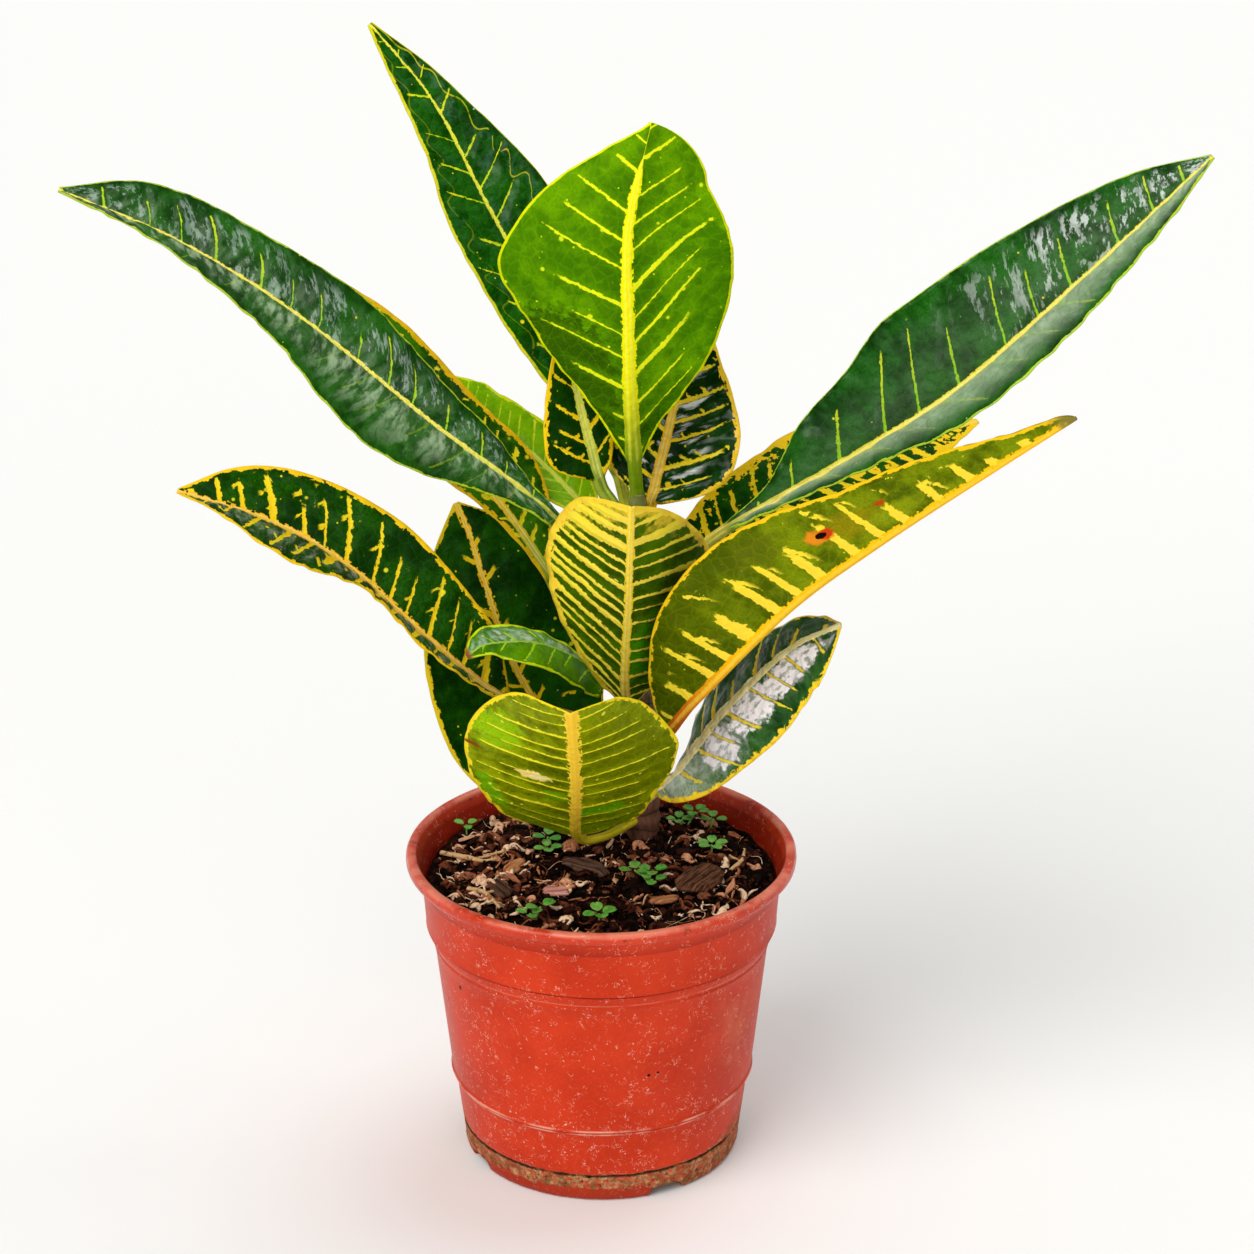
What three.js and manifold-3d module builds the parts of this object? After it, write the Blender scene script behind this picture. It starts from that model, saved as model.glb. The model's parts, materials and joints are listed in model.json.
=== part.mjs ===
// Potted croton: a moulded nursery pot, its soil, a woody stem with sixteen leaves,
// and the weed seedlings, bark chips and twigs that lie on the soil.
// Millimetres, +Z up. The origin is the middle of the pot's underside.
// The croton is described as seen from the front, looking along +Y.
import * as THREE from 'three';
import { mergeVertices } from 'three/addons/utils/BufferGeometryUtils.js';
import Module from 'manifold-3d';

const wasm = await Module();
wasm.setup();

// ---------------------------------------------------------------- driving sizes
const rimRadius = 65;          // outside of the lip: a 13 cm pot
const potHeight = 108;
const footRadius = 46.6;       // wall just above the rounded foot edge
const wallRake = 0.13;         // outward lean of the wall below the ridge, mm per mm of height
const upperRake = 0.116;       // and above it, where the wall stands out by ridgeStep
const wallThickness = 1.5;
const floorThickness = 2;
const potSides = 48;
const lipHeight = 4;
const lipInnerRadius = 61.4;
const baseRadius = 44.6;       // flat underside, inside the rounded foot edge
const collarRadius = 58.7;     // foot of the band under the lip
const collarFlare = 0.6;       // the band's bore is this much wider than its foot less the wall
const collarBottom = 82.5;
const shoulderBottom = 77;     // the band steps in to the wall between these two heights
const ridgeHeight = 28;        // moulded line low on the wall
const ridgeStep = 0.8;
const ridgeProud = 0.5;
const grooveHeight = 10;       // line above the foot
const drainSlots = 4;
const drainWidth = 13;
const drainHeight = 3.6;
const drainReach = 6;          // how far a slot cuts in from the foot's outside
const drainTurn = -62;         // degrees, puts one slot at the front right

const fitGap = 0.3;            // clearance between pieces that touch
const soilEdgeLevel = 98.8;    // soil level at the wall
const soilMound = 2.6;         // rise from the wall to the middle
const soilSectors = 40;
const soilRings = 9;

const bladeThickness = 0.9;
const stalkHalfWidth = 2.2;
const stalkHalfDepth = 1.5;
const midribDepth = 1.1;       // how far the midrib stands out under the blade
const stalkRows = 3;
const bladeStations = [0, 0.03, 0.1, 0.2, 0.31, 0.42, 0.53, 0.64, 0.75, 0.85, 0.93, 0.98, 1];
const bladeColumns = [-1, -0.62, -0.26, 0, 0.26, 0.62, 1];

const stemRoute = [[14, 27, 64], [14, 27, 101], [14, 24, 130], [13, 20, 170], [12, 16, 206], [12, 14, 229]];
const stemRadii = [5.6, 5.8, 5.0, 4.4, 3.8, 2.6];
const stemSides = 10;
const stemRings = 16;

// ---------------------------------------------------------------- small helpers
const radians = (degrees) => degrees * Math.PI / 180;
const mix = (a, b, f) => a + (b - a) * f;
const clamp01 = (x) => Math.min(1, Math.max(0, x));
const ease = (x) => clamp01(x) ** 2 * (3 - 2 * clamp01(x));
const vector = (p) => new THREE.Vector3(p[0], p[1], p[2]);

// Smooth curve through a list of numbers at equal steps, for t from 0 to 1.
function curveValue(values, t) {
  const steps = values.length - 1;
  const place = clamp01(t) * steps;
  const i = Math.min(Math.floor(place), steps - 1);
  const f = place - i;
  const b = values[i];
  const c = values[i + 1];
  const a = i > 0 ? values[i - 1] : 2 * b - c;
  const d = i + 2 <= steps ? values[i + 2] : 2 * c - b;
  return 0.5 * (2 * b + (c - a) * f + (2 * a - 5 * b + 4 * c - d) * f ** 2 + (3 * b - a - 3 * c + d) * f ** 3);
}

const curvePoint = (points, t) => new THREE.Vector3(
  curveValue(points.map((p) => p[0]), t),
  curveValue(points.map((p) => p[1]), t),
  curveValue(points.map((p) => p[2]), t),
);

// A route that is walked at an even pace: at(t) is the point after t of its length.
function evenRoute(points) {
  const samples = 200;
  const lengths = [0];
  let last = curvePoint(points, 0);
  for (let i = 1; i <= samples; i += 1) {
    const next = curvePoint(points, i / samples);
    lengths.push(lengths[i - 1] + next.distanceTo(last));
    last = next;
  }
  const at = (t) => {
    const target = clamp01(t) * lengths[samples];
    let i = 1;
    while (i < samples && lengths[i] < target) i += 1;
    const f = (target - lengths[i - 1]) / (lengths[i] - lengths[i - 1]);
    return curvePoint(points, (i - 1 + f) / samples);
  };
  const along = (t) => {
    const step = 0.001;
    return at(Math.min(t + step, 1)).sub(at(Math.max(t - step, 0))).normalize();
  };
  return { at, along };
}

// Small repeatable random numbers.
function drawer(seed) {
  let state = seed * 2654435761 % 4294967296;
  return () => {
    state = (state * 1664525 + 1013904223) % 4294967296;
    return state / 4294967296;
  };
}

function meshGeometry(positions, triangles) {
  const geometry = new THREE.BufferGeometry();
  geometry.setAttribute('position', new THREE.Float32BufferAttribute(positions, 3));
  geometry.setIndex(triangles);
  return geometry;
}

// Shared corners, no flat triangles, faces outward.
function tidyGeometry(source) {
  const bare = source.clone();
  bare.deleteAttribute('normal');
  bare.deleteAttribute('uv');
  const merged = mergeVertices(bare, 1e-4);
  const index = [];
  const corner = merged.getIndex().array;
  const point = merged.getAttribute('position').array;
  let volume = 0;
  for (let k = 0; k < corner.length; k += 3) {
    const [a, b, c] = [corner[k], corner[k + 1], corner[k + 2]];
    if (a !== b && b !== c && a !== c) {
      index.push(a, b, c);
      const [p, q, r] = [a, b, c].map((n) => new THREE.Vector3().fromArray(point, 3 * n));
      volume += p.dot(q.cross(r));
    }
  }
  if (volume < 0) index.reverse();
  merged.setIndex(index);
  return merged;
}

function toSolid(source) {
  const tidy = tidyGeometry(source);
  return new wasm.Manifold(new wasm.Mesh({
    numProp: 3,
    vertProperties: new Float32Array(tidy.getAttribute('position').array),
    triVerts: new Uint32Array(tidy.getIndex().array),
  }));
}

function toGeometry(solid) {
  const mesh = solid.getMesh();
  return meshGeometry(Array.from(mesh.vertProperties), Array.from(mesh.triVerts));
}

// Closed body between two grids of points of the same size.
// The top grid's rows run forward and its columns run to the right.
function slab(top, bottom) {
  const rows = top.length;
  const columns = top[0].length;
  const positions = [];
  [...top, ...bottom].forEach((row) => row.forEach((p) => positions.push(p.x, p.y, p.z)));
  const upper = (i, j) => i * columns + j;
  const lower = (i, j) => (rows + i) * columns + j;
  const triangles = [];
  const quad = (a, b, c, d) => triangles.push(a, b, c, a, c, d);
  for (let i = 0; i < rows - 1; i += 1) {
    for (let j = 0; j < columns - 1; j += 1) {
      quad(upper(i, j), upper(i, j + 1), upper(i + 1, j + 1), upper(i + 1, j));
      triangles.push(lower(i, j), lower(i + 1, j + 1), lower(i, j + 1));
      triangles.push(lower(i, j), lower(i + 1, j), lower(i + 1, j + 1));
    }
    quad(upper(i, 0), upper(i + 1, 0), lower(i + 1, 0), lower(i, 0));
    quad(upper(i + 1, columns - 1), upper(i, columns - 1), lower(i, columns - 1), lower(i + 1, columns - 1));
  }
  for (let j = 0; j < columns - 1; j += 1) {
    quad(upper(0, j + 1), upper(0, j), lower(0, j), lower(0, j + 1));
    quad(upper(rows - 1, j), upper(rows - 1, j + 1), lower(rows - 1, j + 1), lower(rows - 1, j));
  }
  return meshGeometry(positions, triangles);
}

// Closed tapering rod along a route; extra thickens it all round.
function rod(points, radii, sides, rings, extra = 0) {
  const route = evenRoute(points);
  const positions = [];
  let side = new THREE.Vector3(0, 1, 0);
  if (Math.abs(route.along(0).y) > 0.8) side = new THREE.Vector3(1, 0, 0);
  for (let i = 0; i <= rings; i += 1) {
    const t = i / rings;
    const forward = route.along(t);
    side = side.clone().addScaledVector(forward, -side.dot(forward)).normalize();
    const other = new THREE.Vector3().crossVectors(forward, side);
    const radius = curveValue(radii, t) + extra;
    for (let k = 0; k < sides; k += 1) {
      const turn = 2 * Math.PI * k / sides;
      const p = route.at(t).addScaledVector(side, radius * Math.cos(turn));
      p.addScaledVector(other, radius * Math.sin(turn));
      positions.push(p.x, p.y, p.z);
    }
  }
  const triangles = [];
  for (let i = 0; i < rings; i += 1) {
    for (let k = 0; k < sides; k += 1) {
      const a = i * sides + k;
      const b = i * sides + (k + 1) % sides;
      triangles.push(a, b, b + sides, a, b + sides, a + sides);
    }
  }
  for (let k = 1; k < sides - 1; k += 1) {
    const last = rings * sides;
    triangles.push(0, k + 1, k, last, last + k, last + k + 1);
  }
  return meshGeometry(positions, triangles);
}

// ---------------------------------------------------------------- finishes
const finish = (color, roughness) => new THREE.MeshStandardMaterial({ color, roughness, metalness: 0 });
const potFinish = finish('#c9442b', 0.42);
const soilFinish = finish('#2c1d15', 0.95);
const stemFinish = finish('#5d4630', 0.85);
const darkLeafFinish = finish('#2a5226', 0.32);
const limeLeafFinish = finish('#86ad1c', 0.4);
const goldLeafFinish = finish('#7d9424', 0.36);
const seedlingFinish = finish('#5fa83f', 0.6);
const barkFinish = finish('#6d432e', 0.85);
const twigFinish = finish('#b98a55', 0.85);

const croton = new THREE.Group();

function addPiece(name, geometry, material) {
  const piece = new THREE.Mesh(tidyGeometry(geometry), material);
  piece.name = name;
  croton.add(piece);
}

// ---------------------------------------------------------------- pot
const lowerWall = (z) => footRadius + wallRake * (z - lipHeight);
const upperWall = (z) => lowerWall(ridgeHeight) + ridgeStep + upperRake * (z - ridgeHeight);
const wallRadius = (z) => (z > ridgeHeight ? upperWall(z) : lowerWall(z));

function potSolid() {
  const inner = (z) => (z > shoulderBottom + 2 ? collarRadius + collarFlare : wallRadius(z)) - wallThickness;
  const lipBottom = potHeight - lipHeight;
  const profile = [
    [0, 0], [baseRadius, 0], [baseRadius + 1.2, 0.7], [footRadius, 2.4],
    [wallRadius(grooveHeight - 0.8), grooveHeight - 0.8],
    [wallRadius(grooveHeight) - 0.5, grooveHeight],
    [wallRadius(grooveHeight + 0.6), grooveHeight + 0.6],
    [wallRadius(ridgeHeight - 1.3), ridgeHeight - 1.3],
    [upperWall(ridgeHeight) + ridgeProud, ridgeHeight - 0.6],
    [upperWall(ridgeHeight) + ridgeProud, ridgeHeight + 0.5],
    [wallRadius(ridgeHeight + 1.3), ridgeHeight + 1.3],
    [wallRadius(shoulderBottom), shoulderBottom],
    [collarRadius, collarBottom],
    [collarRadius + 1.6, lipBottom - 1], [collarRadius + 2.4, lipBottom],
    [rimRadius - 0.7, lipBottom + 0.2], [rimRadius, lipBottom + 1.2],
    [rimRadius - 0.1, potHeight - 1], [rimRadius - 1, potHeight],
    [lipInnerRadius + 0.7, potHeight], [lipInnerRadius, potHeight - 0.8],
    [inner(collarBottom) + 1.2, lipBottom - 3],
    [inner(collarBottom), collarBottom],
    [inner(shoulderBottom), shoulderBottom],
    [inner(floorThickness + 2), floorThickness + 2],
    [inner(floorThickness + 2) - 1.6, floorThickness], [0, floorThickness],
  ];
  const lathe = new THREE.LatheGeometry(profile.map(([r, z]) => new THREE.Vector2(r, z)), potSides);
  lathe.rotateX(Math.PI / 2);
  let pot = toSolid(lathe);
  // Water runs out through slots at the foot.
  for (let k = 0; k < drainSlots; k += 1) {
    const cutter = new THREE.BoxGeometry(2 * drainReach, drainWidth, 2 * drainHeight);
    cutter.translate(footRadius, 0, 0);
    cutter.rotateZ(radians(drainTurn + k * 360 / drainSlots));
    pot = pot.subtract(toSolid(cutter));
  }
  return pot;
}

// ---------------------------------------------------------------- soil
const soilTopRadius = collarRadius + collarFlare - wallThickness - fitGap;

function soilHeight(x, y) {
  const reach = Math.hypot(x, y) / soilTopRadius;
  const swell = 0.55 * Math.sin(0.31 * x + 1.3) * Math.cos(0.27 * y + 0.4);
  const clods = 0.4 * Math.sin(0.43 * x + 0.29 * y) * Math.cos(0.39 * y - 0.2 * x + 2);
  return soilEdgeLevel + soilMound * (1 - reach ** 2) + swell + clods;
}

// The body of soil, with its top lifted by lift.
function soilBody(lift = 0) {
  const floor = floorThickness + fitGap;
  const wallAt = (z) => wallRadius(z) - wallThickness - fitGap;
  const positions = [0, 0, soilHeight(0, 0) + lift];
  const ring = (radius, height) => {
    for (let k = 0; k < soilSectors; k += 1) {
      const turn = 2 * Math.PI * k / soilSectors;
      const x = radius * Math.cos(turn);
      const y = radius * Math.sin(turn);
      positions.push(x, y, height === null ? soilHeight(x, y) + lift : height);
    }
  };
  for (let i = 1; i <= soilRings; i += 1) ring(soilTopRadius * i / soilRings, null);
  ring(soilTopRadius, collarBottom);
  ring(wallAt(shoulderBottom), shoulderBottom);
  ring(wallAt(floorThickness + 2) - fitGap, floorThickness + 2 + fitGap);
  ring(wallAt(floorThickness + 2) - 2, floor);
  const rings = soilRings + 4;
  const bottom = positions.length / 3;
  positions.push(0, 0, floor);
  const triangles = [];
  for (let k = 0; k < soilSectors; k += 1) {
    const next = (k + 1) % soilSectors;
    triangles.push(0, 1 + k, 1 + next);
    for (let i = 0; i < rings - 1; i += 1) {
      const a = 1 + i * soilSectors;
      triangles.push(a + k, a + soilSectors + k, a + soilSectors + next);
      triangles.push(a + k, a + soilSectors + next, a + next);
    }
    const a = 1 + (rings - 1) * soilSectors;
    triangles.push(a + next, a + k, bottom);
  }
  return toSolid(meshGeometry(positions, triangles));
}

// ---------------------------------------------------------------- stem
const stemPath = evenRoute(stemRoute);

// Where the stem's middle is at a height.
function stemAt(z) {
  let low = 0;
  let high = 1;
  for (let i = 0; i < 24; i += 1) {
    const middle = (low + high) / 2;
    if (stemPath.at(middle).z < z) low = middle;
    else high = middle;
  }
  return stemPath.at(low).toArray();
}

const stemRod = (extra) => rod(stemRoute, stemRadii, stemSides, stemRings, extra);

// ---------------------------------------------------------------- leaves
// joint: height on the stem; rib: the midrib's points from the stalk to the tip;
// stalk: share of the length that is stalk; wide: half widths at equal steps of the blade;
// face: the way the upper side looks, at the base and at the tip;
// left, right: how far that half turns up from the midrib, in degrees,
//   beside the midrib and at the edge, and again at the tip where it changes;
// wave: height, count and start of the waves along the edge;
// blunt: share of the blade that rounds off to a blunt tip.
const leaves = {
  leaf_1: {
    joint: 176, rib: [[-15, 6, 223], [-54, -4, 260], [-94, -10, 297], [-130, -10, 321], [-167, -8, 337]],
    stalk: 0.2, face: [[0, -0.75, 1], [0, -1.2, 1]],
    wideLeft: [2, 6, 12, 20, 24.5, 22, 16, 13, 8, 4, 1], left: [10, 0, 48, 40],
    wideRight: [2, 4, 9.5, 12, 15.5, 17.5, 16.5, 15.5, 15, 11.5, 1], right: [15, 0], wave: [0.7, 3, 0.1],
    finish: darkLeafFinish,
  },
  leaf_2: {
    joint: 145, rib: [[-9, 23, 180], [-20, 22, 202], [-34, 28, 221], [-53, 34, 243], [-74, 40, 270],
      [-101, 48, 295]],
    stalk: 0.3, face: [[0.3, -0.9, 1], [0, -0.9, 1]],
    wideLeft: [2, 3, 5, 8, 12, 14, 12, 10, 8, 5, 1], left: [15, 5],
    wideRight: [2, 8, 16, 19, 17.5, 16, 14.5, 13, 10.5, 7, 1], right: [15, 5], finish: darkLeafFinish,
  },
  leaf_3: {
    joint: 200, rib: [[-3, 34, 213], [-18, 50, 224], [-35, 66, 234], [-50, 84, 244]],
    stalk: 0.2, face: [[0.3, -0.9, 1], [0.2, -0.9, 1]],
    wideLeft: [2, 5, 8, 10, 11, 11.5, 11, 10, 8, 6, 1], left: [15, 5],
    wideRight: [2, 5, 8, 10, 11, 11.5, 11, 10, 8, 6, 1], right: [15, 5], finish: limeLeafFinish,
  },
  leaf_4: {
    joint: 205, rib: [[2, 50, 234], [-21, 70, 276], [-39, 84, 307], [-56, 96, 337], [-77, 105, 361]],
    stalk: 0.15, face: [[0.3, -1, 0.4], [0.3, -1, 0.4]],
    wideLeft: [2, 7, 11, 14, 16, 17, 16, 13, 11, 7, 1], left: [20, 8],
    wideRight: [2, 8, 14, 18, 21, 22, 20, 15, 9, 5, 1], right: [20, 8], wave: [0.8, 4, 0.3],
    finish: darkLeafFinish,
  },
  leaf_5: {
    joint: 225, rib: [[10, 6, 257], [9, -2, 290], [9, -4, 323], [16, 8, 354]],
    stalk: 0.12, face: [[0, 1, 0.1], [0, 1, 0.3]],
    wideLeft: [2, 8, 17, 25, 30, 33.5, 34.5, 33.5, 31, 23, 20], left: [10, 15],
    wideRight: [2, 8, 15, 24, 31, 37, 41.5, 35.5, 25.5, 13, 2], right: [10, 15], wave: [1.2, 2, 0.2], blunt: 0.1,
    finish: limeLeafFinish,
  },
  leaf_6: {
    joint: 183, rib: [[36, 14, 212], [85, 8, 246], [116, 6, 269], [158, 8, 309], [192, 12, 342]],
    stalk: 0.18, face: [[0, -0.75, 1], [0, -1.2, 1]],
    wideLeft: [2, 6, 18, 24, 31, 31.5, 29.5, 25.5, 20.5, 13, 1], left: [28, 20],
    wideRight: [2, 8, 12, 17, 21, 22, 21, 18, 13.5, 8.5, 1], right: [48, 38], wave: [0.5, 4, 0.6],
    finish: darkLeafFinish,
  },
  leaf_7: {
    joint: 135, rib: [[21, 2, 147], [32, -14, 168], [60, -28, 205], [87, -38, 231], [119, -48, 258], [145, -55, 279]],
    stalk: 0.14, face: [[-0.3, 0.6, 1], [-0.2, 0.3, 1]],
    wideLeft: [2, 12, 20, 26, 28, 26, 22, 18, 13, 7, 3], left: [72, 60],
    wideRight: [4, 18, 28, 32, 32, 28.5, 23, 19.5, 14.5, 7.5, 3], right: [62, 52], blunt: 0.04,
    finish: goldLeafFinish,
  },
  leaf_8: {
    joint: 112, rib: [[26, 10, 133], [42, 0, 160], [61, -8, 183], [77, -16, 195]],
    stalk: 0.1, face: [[0, -0.6, 1], [0, -0.8, 1]],
    wideLeft: [3, 17, 20, 18, 16.5, 16.5, 17, 17, 15, 10.5, 1], left: [-25, -35],
    wideRight: [2, 9.5, 14, 17, 19, 20, 20, 19, 17, 14, 1], right: [-10, -20], wave: [0.8, 2.5, 0],
    finish: darkLeafFinish,
  },
  leaf_9: {
    joint: 138, rib: [[-14, 8, 153], [-33, 2, 162], [-55, -8, 186], [-80, -16, 215], [-104, -20, 232],
      [-133, -22, 243]],
    stalk: 0.28, face: [[0, -0.75, 1], [0, -0.9, 1]],
    wideLeft: [2, 4, 6, 7, 5, 5, 11, 17, 15, 6, 1], left: [38, 32],
    wideRight: [2, 15, 18.5, 20.5, 21.5, 22, 21, 19.5, 17, 11.5, 1], right: [20, 20], finish: goldLeafFinish,
  },
  leaf_10: {
    joint: 121, rib: [[-14, 24, 140], [-29, 26, 163], [-39, 30, 192], [-43, 33, 205], [-48, 36, 217]],
    stalk: 0.14, face: [[0.3, -1, 0.5], [0.3, -1, 0.5]],
    wideLeft: [3, 21, 32, 34, 32.5, 30, 27, 23, 18, 12, 1], left: [5, 0],
    wideRight: [3, 18, 25, 27, 27, 26, 24, 22, 18, 12, 1], right: [5, 0], finish: darkLeafFinish,
  },
  leaf_12: {
    joint: 155, rib: [[3, 15, 161], [-7, 9, 172], [-17, 2, 180], [-26, -4, 184], [-37, -9, 185], [-43, -12, 182]],
    stalk: 0.25, face: [[0, -0.5, 1], [0, -0.5, 1]],
    wideLeft: [9, 12, 14, 15, 15, 13.5, 12, 10, 7, 4, 1], left: [0, 0],
    wideRight: [2, 2, 3, 4.5, 5.5, 6.5, 7, 7.5, 8, 6, 1], right: [0, 0], finish: limeLeafFinish,
  },
  leaf_13: {
    joint: 146, rib: [[8, 2, 164], [9, -18, 204], [10, -34, 242]],
    stalk: 0.15, face: [[0, 1, 1], [0, 1, 1]],
    wideLeft: [2, 14, 20, 26, 31, 33.5, 34, 30, 23.5, 14, 1], left: [20, 30, 40, 55],
    wideRight: [2, 10, 16, 22, 28, 31.5, 34, 33, 29, 21, 1], right: [20, 30, 40, 55], finish: goldLeafFinish,
  },
  leaf_14: {
    joint: 107, rib: [[0, 10, 107], [-8, 0, 113], [-8, -32, 148], [-9, -62, 184]],
    stalk: 0.3, face: [[0, 1, 1.2], [0, 1, 1.2]],
    wideLeft: [10, 21.5, 25, 29, 33.5, 35.5, 33, 29.5, 25, 17, 1], left: [0, 10, 26, 50],
    wideRight: [6, 22, 29, 34, 37, 38.5, 37.5, 34, 28.5, 20, 1], right: [0, 10, 26, 50], finish: goldLeafFinish,
  },
  leaf_15: {
    joint: 209, rib: [[4, 18, 223], [0, 20, 229], [-3, 22, 241], [-7, 26, 256], [-9, 30, 272], [-8, 36, 289]],
    stalk: 0.3, face: [[0.3, -1, 0.4], [0.3, -1, 0.4]],
    wideLeft: [2, 13, 16, 15, 13, 11, 9, 7, 5, 3, 1], left: [10, 5],
    wideRight: [2, 6, 8, 9, 9, 8, 7, 6, 4, 3, 1], right: [10, 5], finish: darkLeafFinish,
  },
  leaf_16: {
    joint: 213, rib: [[16, 20, 222], [19, 24, 233], [23, 30, 248], [27, 38, 266], [31, 48, 283]],
    stalk: 0.15, face: [[-0.3, -1, 0.4], [-0.3, -1, 0.4]],
    wideLeft: [3, 14, 19, 20, 19, 17, 14, 11, 7, 4, 1], left: [10, 5],
    wideRight: [3, 18, 24, 25.5, 25, 22, 18.5, 14, 10, 5, 1], right: [10, 5], finish: darkLeafFinish,
  },
  leaf_17: {
    joint: 171, rib: [[29, 28, 198], [56, 42, 216], [87, 60, 223], [128, 85, 228]],
    stalk: 0.15, face: [[0, -0.5, 1], [0, -0.5, 1]],
    wideLeft: [2, 10, 14, 16, 17, 20, 20, 17, 12, 7, 1], left: [10, 5],
    wideRight: [2, 10, 14, 16, 17, 20, 20, 17, 12, 7, 1], right: [10, 5], finish: goldLeafFinish,
  },
};

// The leaf's middle surface: t runs from the stem to the tip, v from the left edge to the right.
function bladeSurface(leaf) {
  const route = evenRoute([stemAt(leaf.joint), ...leaf.rib]);
  const [faceBase, faceTip] = leaf.face.map((f) => vector(f).normalize());
  const share = (t) => clamp01((t - leaf.stalk) / (1 - leaf.stalk));
  const halfWidth = (t, widths) => {
    const s = share(t);
    const stalkPart = stalkHalfWidth * (1 - ease((s - 0.3) / 0.5));
    if (s <= 0) return stalkHalfWidth;
    const rounding = leaf.blunt ? Math.sqrt(1 - clamp01((s - 1 + leaf.blunt) / leaf.blunt) ** 2) : 1;
    return Math.max(curveValue(widths, s) * rounding, 0.8, stalkPart);
  };
  return (t, v) => {
    const s = share(t);
    const forward = route.along(t);
    const face = faceBase.clone().lerp(faceTip, ease(t));
    const right = new THREE.Vector3().crossVectors(forward, face).normalize();
    const up = new THREE.Vector3().crossVectors(right, forward);
    const side = v < 0 ? -1 : 1;
    const angles = v < 0 ? leaf.left : leaf.right;
    const [root, edge, rootTip = root, edgeTip = edge] = angles.map(radians);
    const start = mix(root, rootTip, ease(s));
    let turn = mix(edge, edgeTip, ease(s)) - start;
    if (Math.abs(turn) < 1e-4) turn = 1e-4;
    const width = halfWidth(t, v < 0 ? leaf.wideLeft : leaf.wideRight);
    const u = Math.abs(v);
    const out = (Math.sin(start + turn * u) - Math.sin(start)) / turn;
    const rise = (Math.cos(start) - Math.cos(start + turn * u)) / turn;
    const [height, count, phase] = leaf.wave || [0, 0, 0];
    const shift = side > 0 ? 0.37 : 0;
    const ripple = height * Math.sin(2 * Math.PI * (count * s + phase + shift)) * Math.sin(Math.PI * s) * u ** 2;
    return route.at(t).addScaledVector(right, side * width * out).addScaledVector(up, width * rise + ripple);
  };
}

function leafSolid(leaf) {
  const surface = bladeSurface(leaf);
  const stations = [];
  for (let i = 0; i < stalkRows; i += 1) stations.push(leaf.stalk * i / stalkRows);
  bladeStations.forEach((s) => stations.push(mix(leaf.stalk, 1, s)));
  const top = [];
  const bottom = [];
  const step = 0.004;
  stations.forEach((t) => {
    const s = (t - leaf.stalk) / (1 - leaf.stalk);
    const blend = ease((s + 0.02) / 0.12);
    top.push([]);
    bottom.push([]);
    bladeColumns.forEach((v) => {
      const ahead = surface(Math.min(t + step, 1), v).sub(surface(Math.max(t - step, 0), v));
      const across = surface(t, Math.min(v + 0.05, 1)).sub(surface(t, Math.max(v - 0.05, -1)));
      const normal = across.cross(ahead).normalize();
      const round = stalkHalfDepth * Math.sqrt(1 - 0.94 * v ** 2);
      const half = mix(round, bladeThickness / 2, blend);
      const rib = v === 0 ? midribDepth * blend * (1 - 0.8 * clamp01(s)) : 0;
      top[top.length - 1].push(surface(t, v).addScaledVector(normal, half));
      bottom[bottom.length - 1].push(surface(t, v).addScaledVector(normal, -half - rib));
    });
  });
  return toSolid(slab(top, bottom));
}

// ---------------------------------------------------------------- seedlings
// root: place on the soil; heads: offset, height, leaflet count, leaflet length and turn.
const seedlings = {
  seedling_front: { root: [-0.5, -40], heads: [[0, 0, 3.6, 4, 6, 20]] },
  seedling_front_left: { root: [-21, -37], heads: [[1.5, 1, 4.6, 2, 5.6, 30], [-2, -2, 3.2, 3, 5, 160]] },
  seedling_left: { root: [-19, 12], heads: [[1, 2, 4.6, 3, 5.6, 80], [1, -3, 3.2, 4, 4.8, 10]] },
  seedling_middle: { root: [2, 25], heads: [[0, 0, 4, 5, 4.6, 40]] },
  seedling_back: { root: [29, 31], heads: [[-3, -1, 4.2, 4, 4.6, 0], [3, 2, 5.2, 4, 5, 60]] },
  seedling_right: { root: [37, 11], heads: [[0, 0, 3.6, 5, 5.4, 12]] },
  seedling_back_right: { root: [37, 31], heads: [[1, 2, 3.8, 3, 4.8, 100]] },
  seedling_patch: { root: [15, -13], heads: [[-4, 1, 3.8, 3, 5.2, 90], [2, 1, 4.6, 3, 5.4, 150], [2, -4, 3.6, 3, 4.8, 20]] },
  seedling_far_left: { root: [-46, 30], heads: [[0, 0, 3.2, 3, 4.4, 45]] },
};
const seedlingDepth = 6;       // how far a stalk stands in the soil
const seedlingStalkRadius = 0.6;
const seedlingHoleRadius = 1.2;

function seedlingStalk(seedling, [dx, dy, height]) {
  const [x, y] = seedling.root;
  const ground = soilHeight(x, y);
  const points = [
    [x, y, ground - seedlingDepth], [x, y, ground + 0.6],
    [x + dx, y + dy, soilHeight(x + dx, y + dy) + height - 0.2],
  ];
  return toSolid(rod(points, [1, 1, 0.9].map((share) => share * seedlingStalkRadius), 4, 3));
}

function seedlingHole(seedling) {
  const [x, y] = seedling.root;
  const ground = soilHeight(x, y);
  const points = [[x, y, ground - seedlingDepth - fitGap], [x, y, ground + 3]];
  return toSolid(rod(points, [seedlingHoleRadius, seedlingHoleRadius], 6, 1));
}

// One head: leaflets cut to the middle in one thin cupped blade.
const leafletOutline = [[-0.5, 0.2], [-0.36, 0.8], [-0.17, 1], [0, 0.9], [0.17, 1], [0.36, 0.8]];
const leafletThickness = 0.65;
const leafletLift = 0.28;      // rise of the leaflets to their ends, as a share of their length

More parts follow.
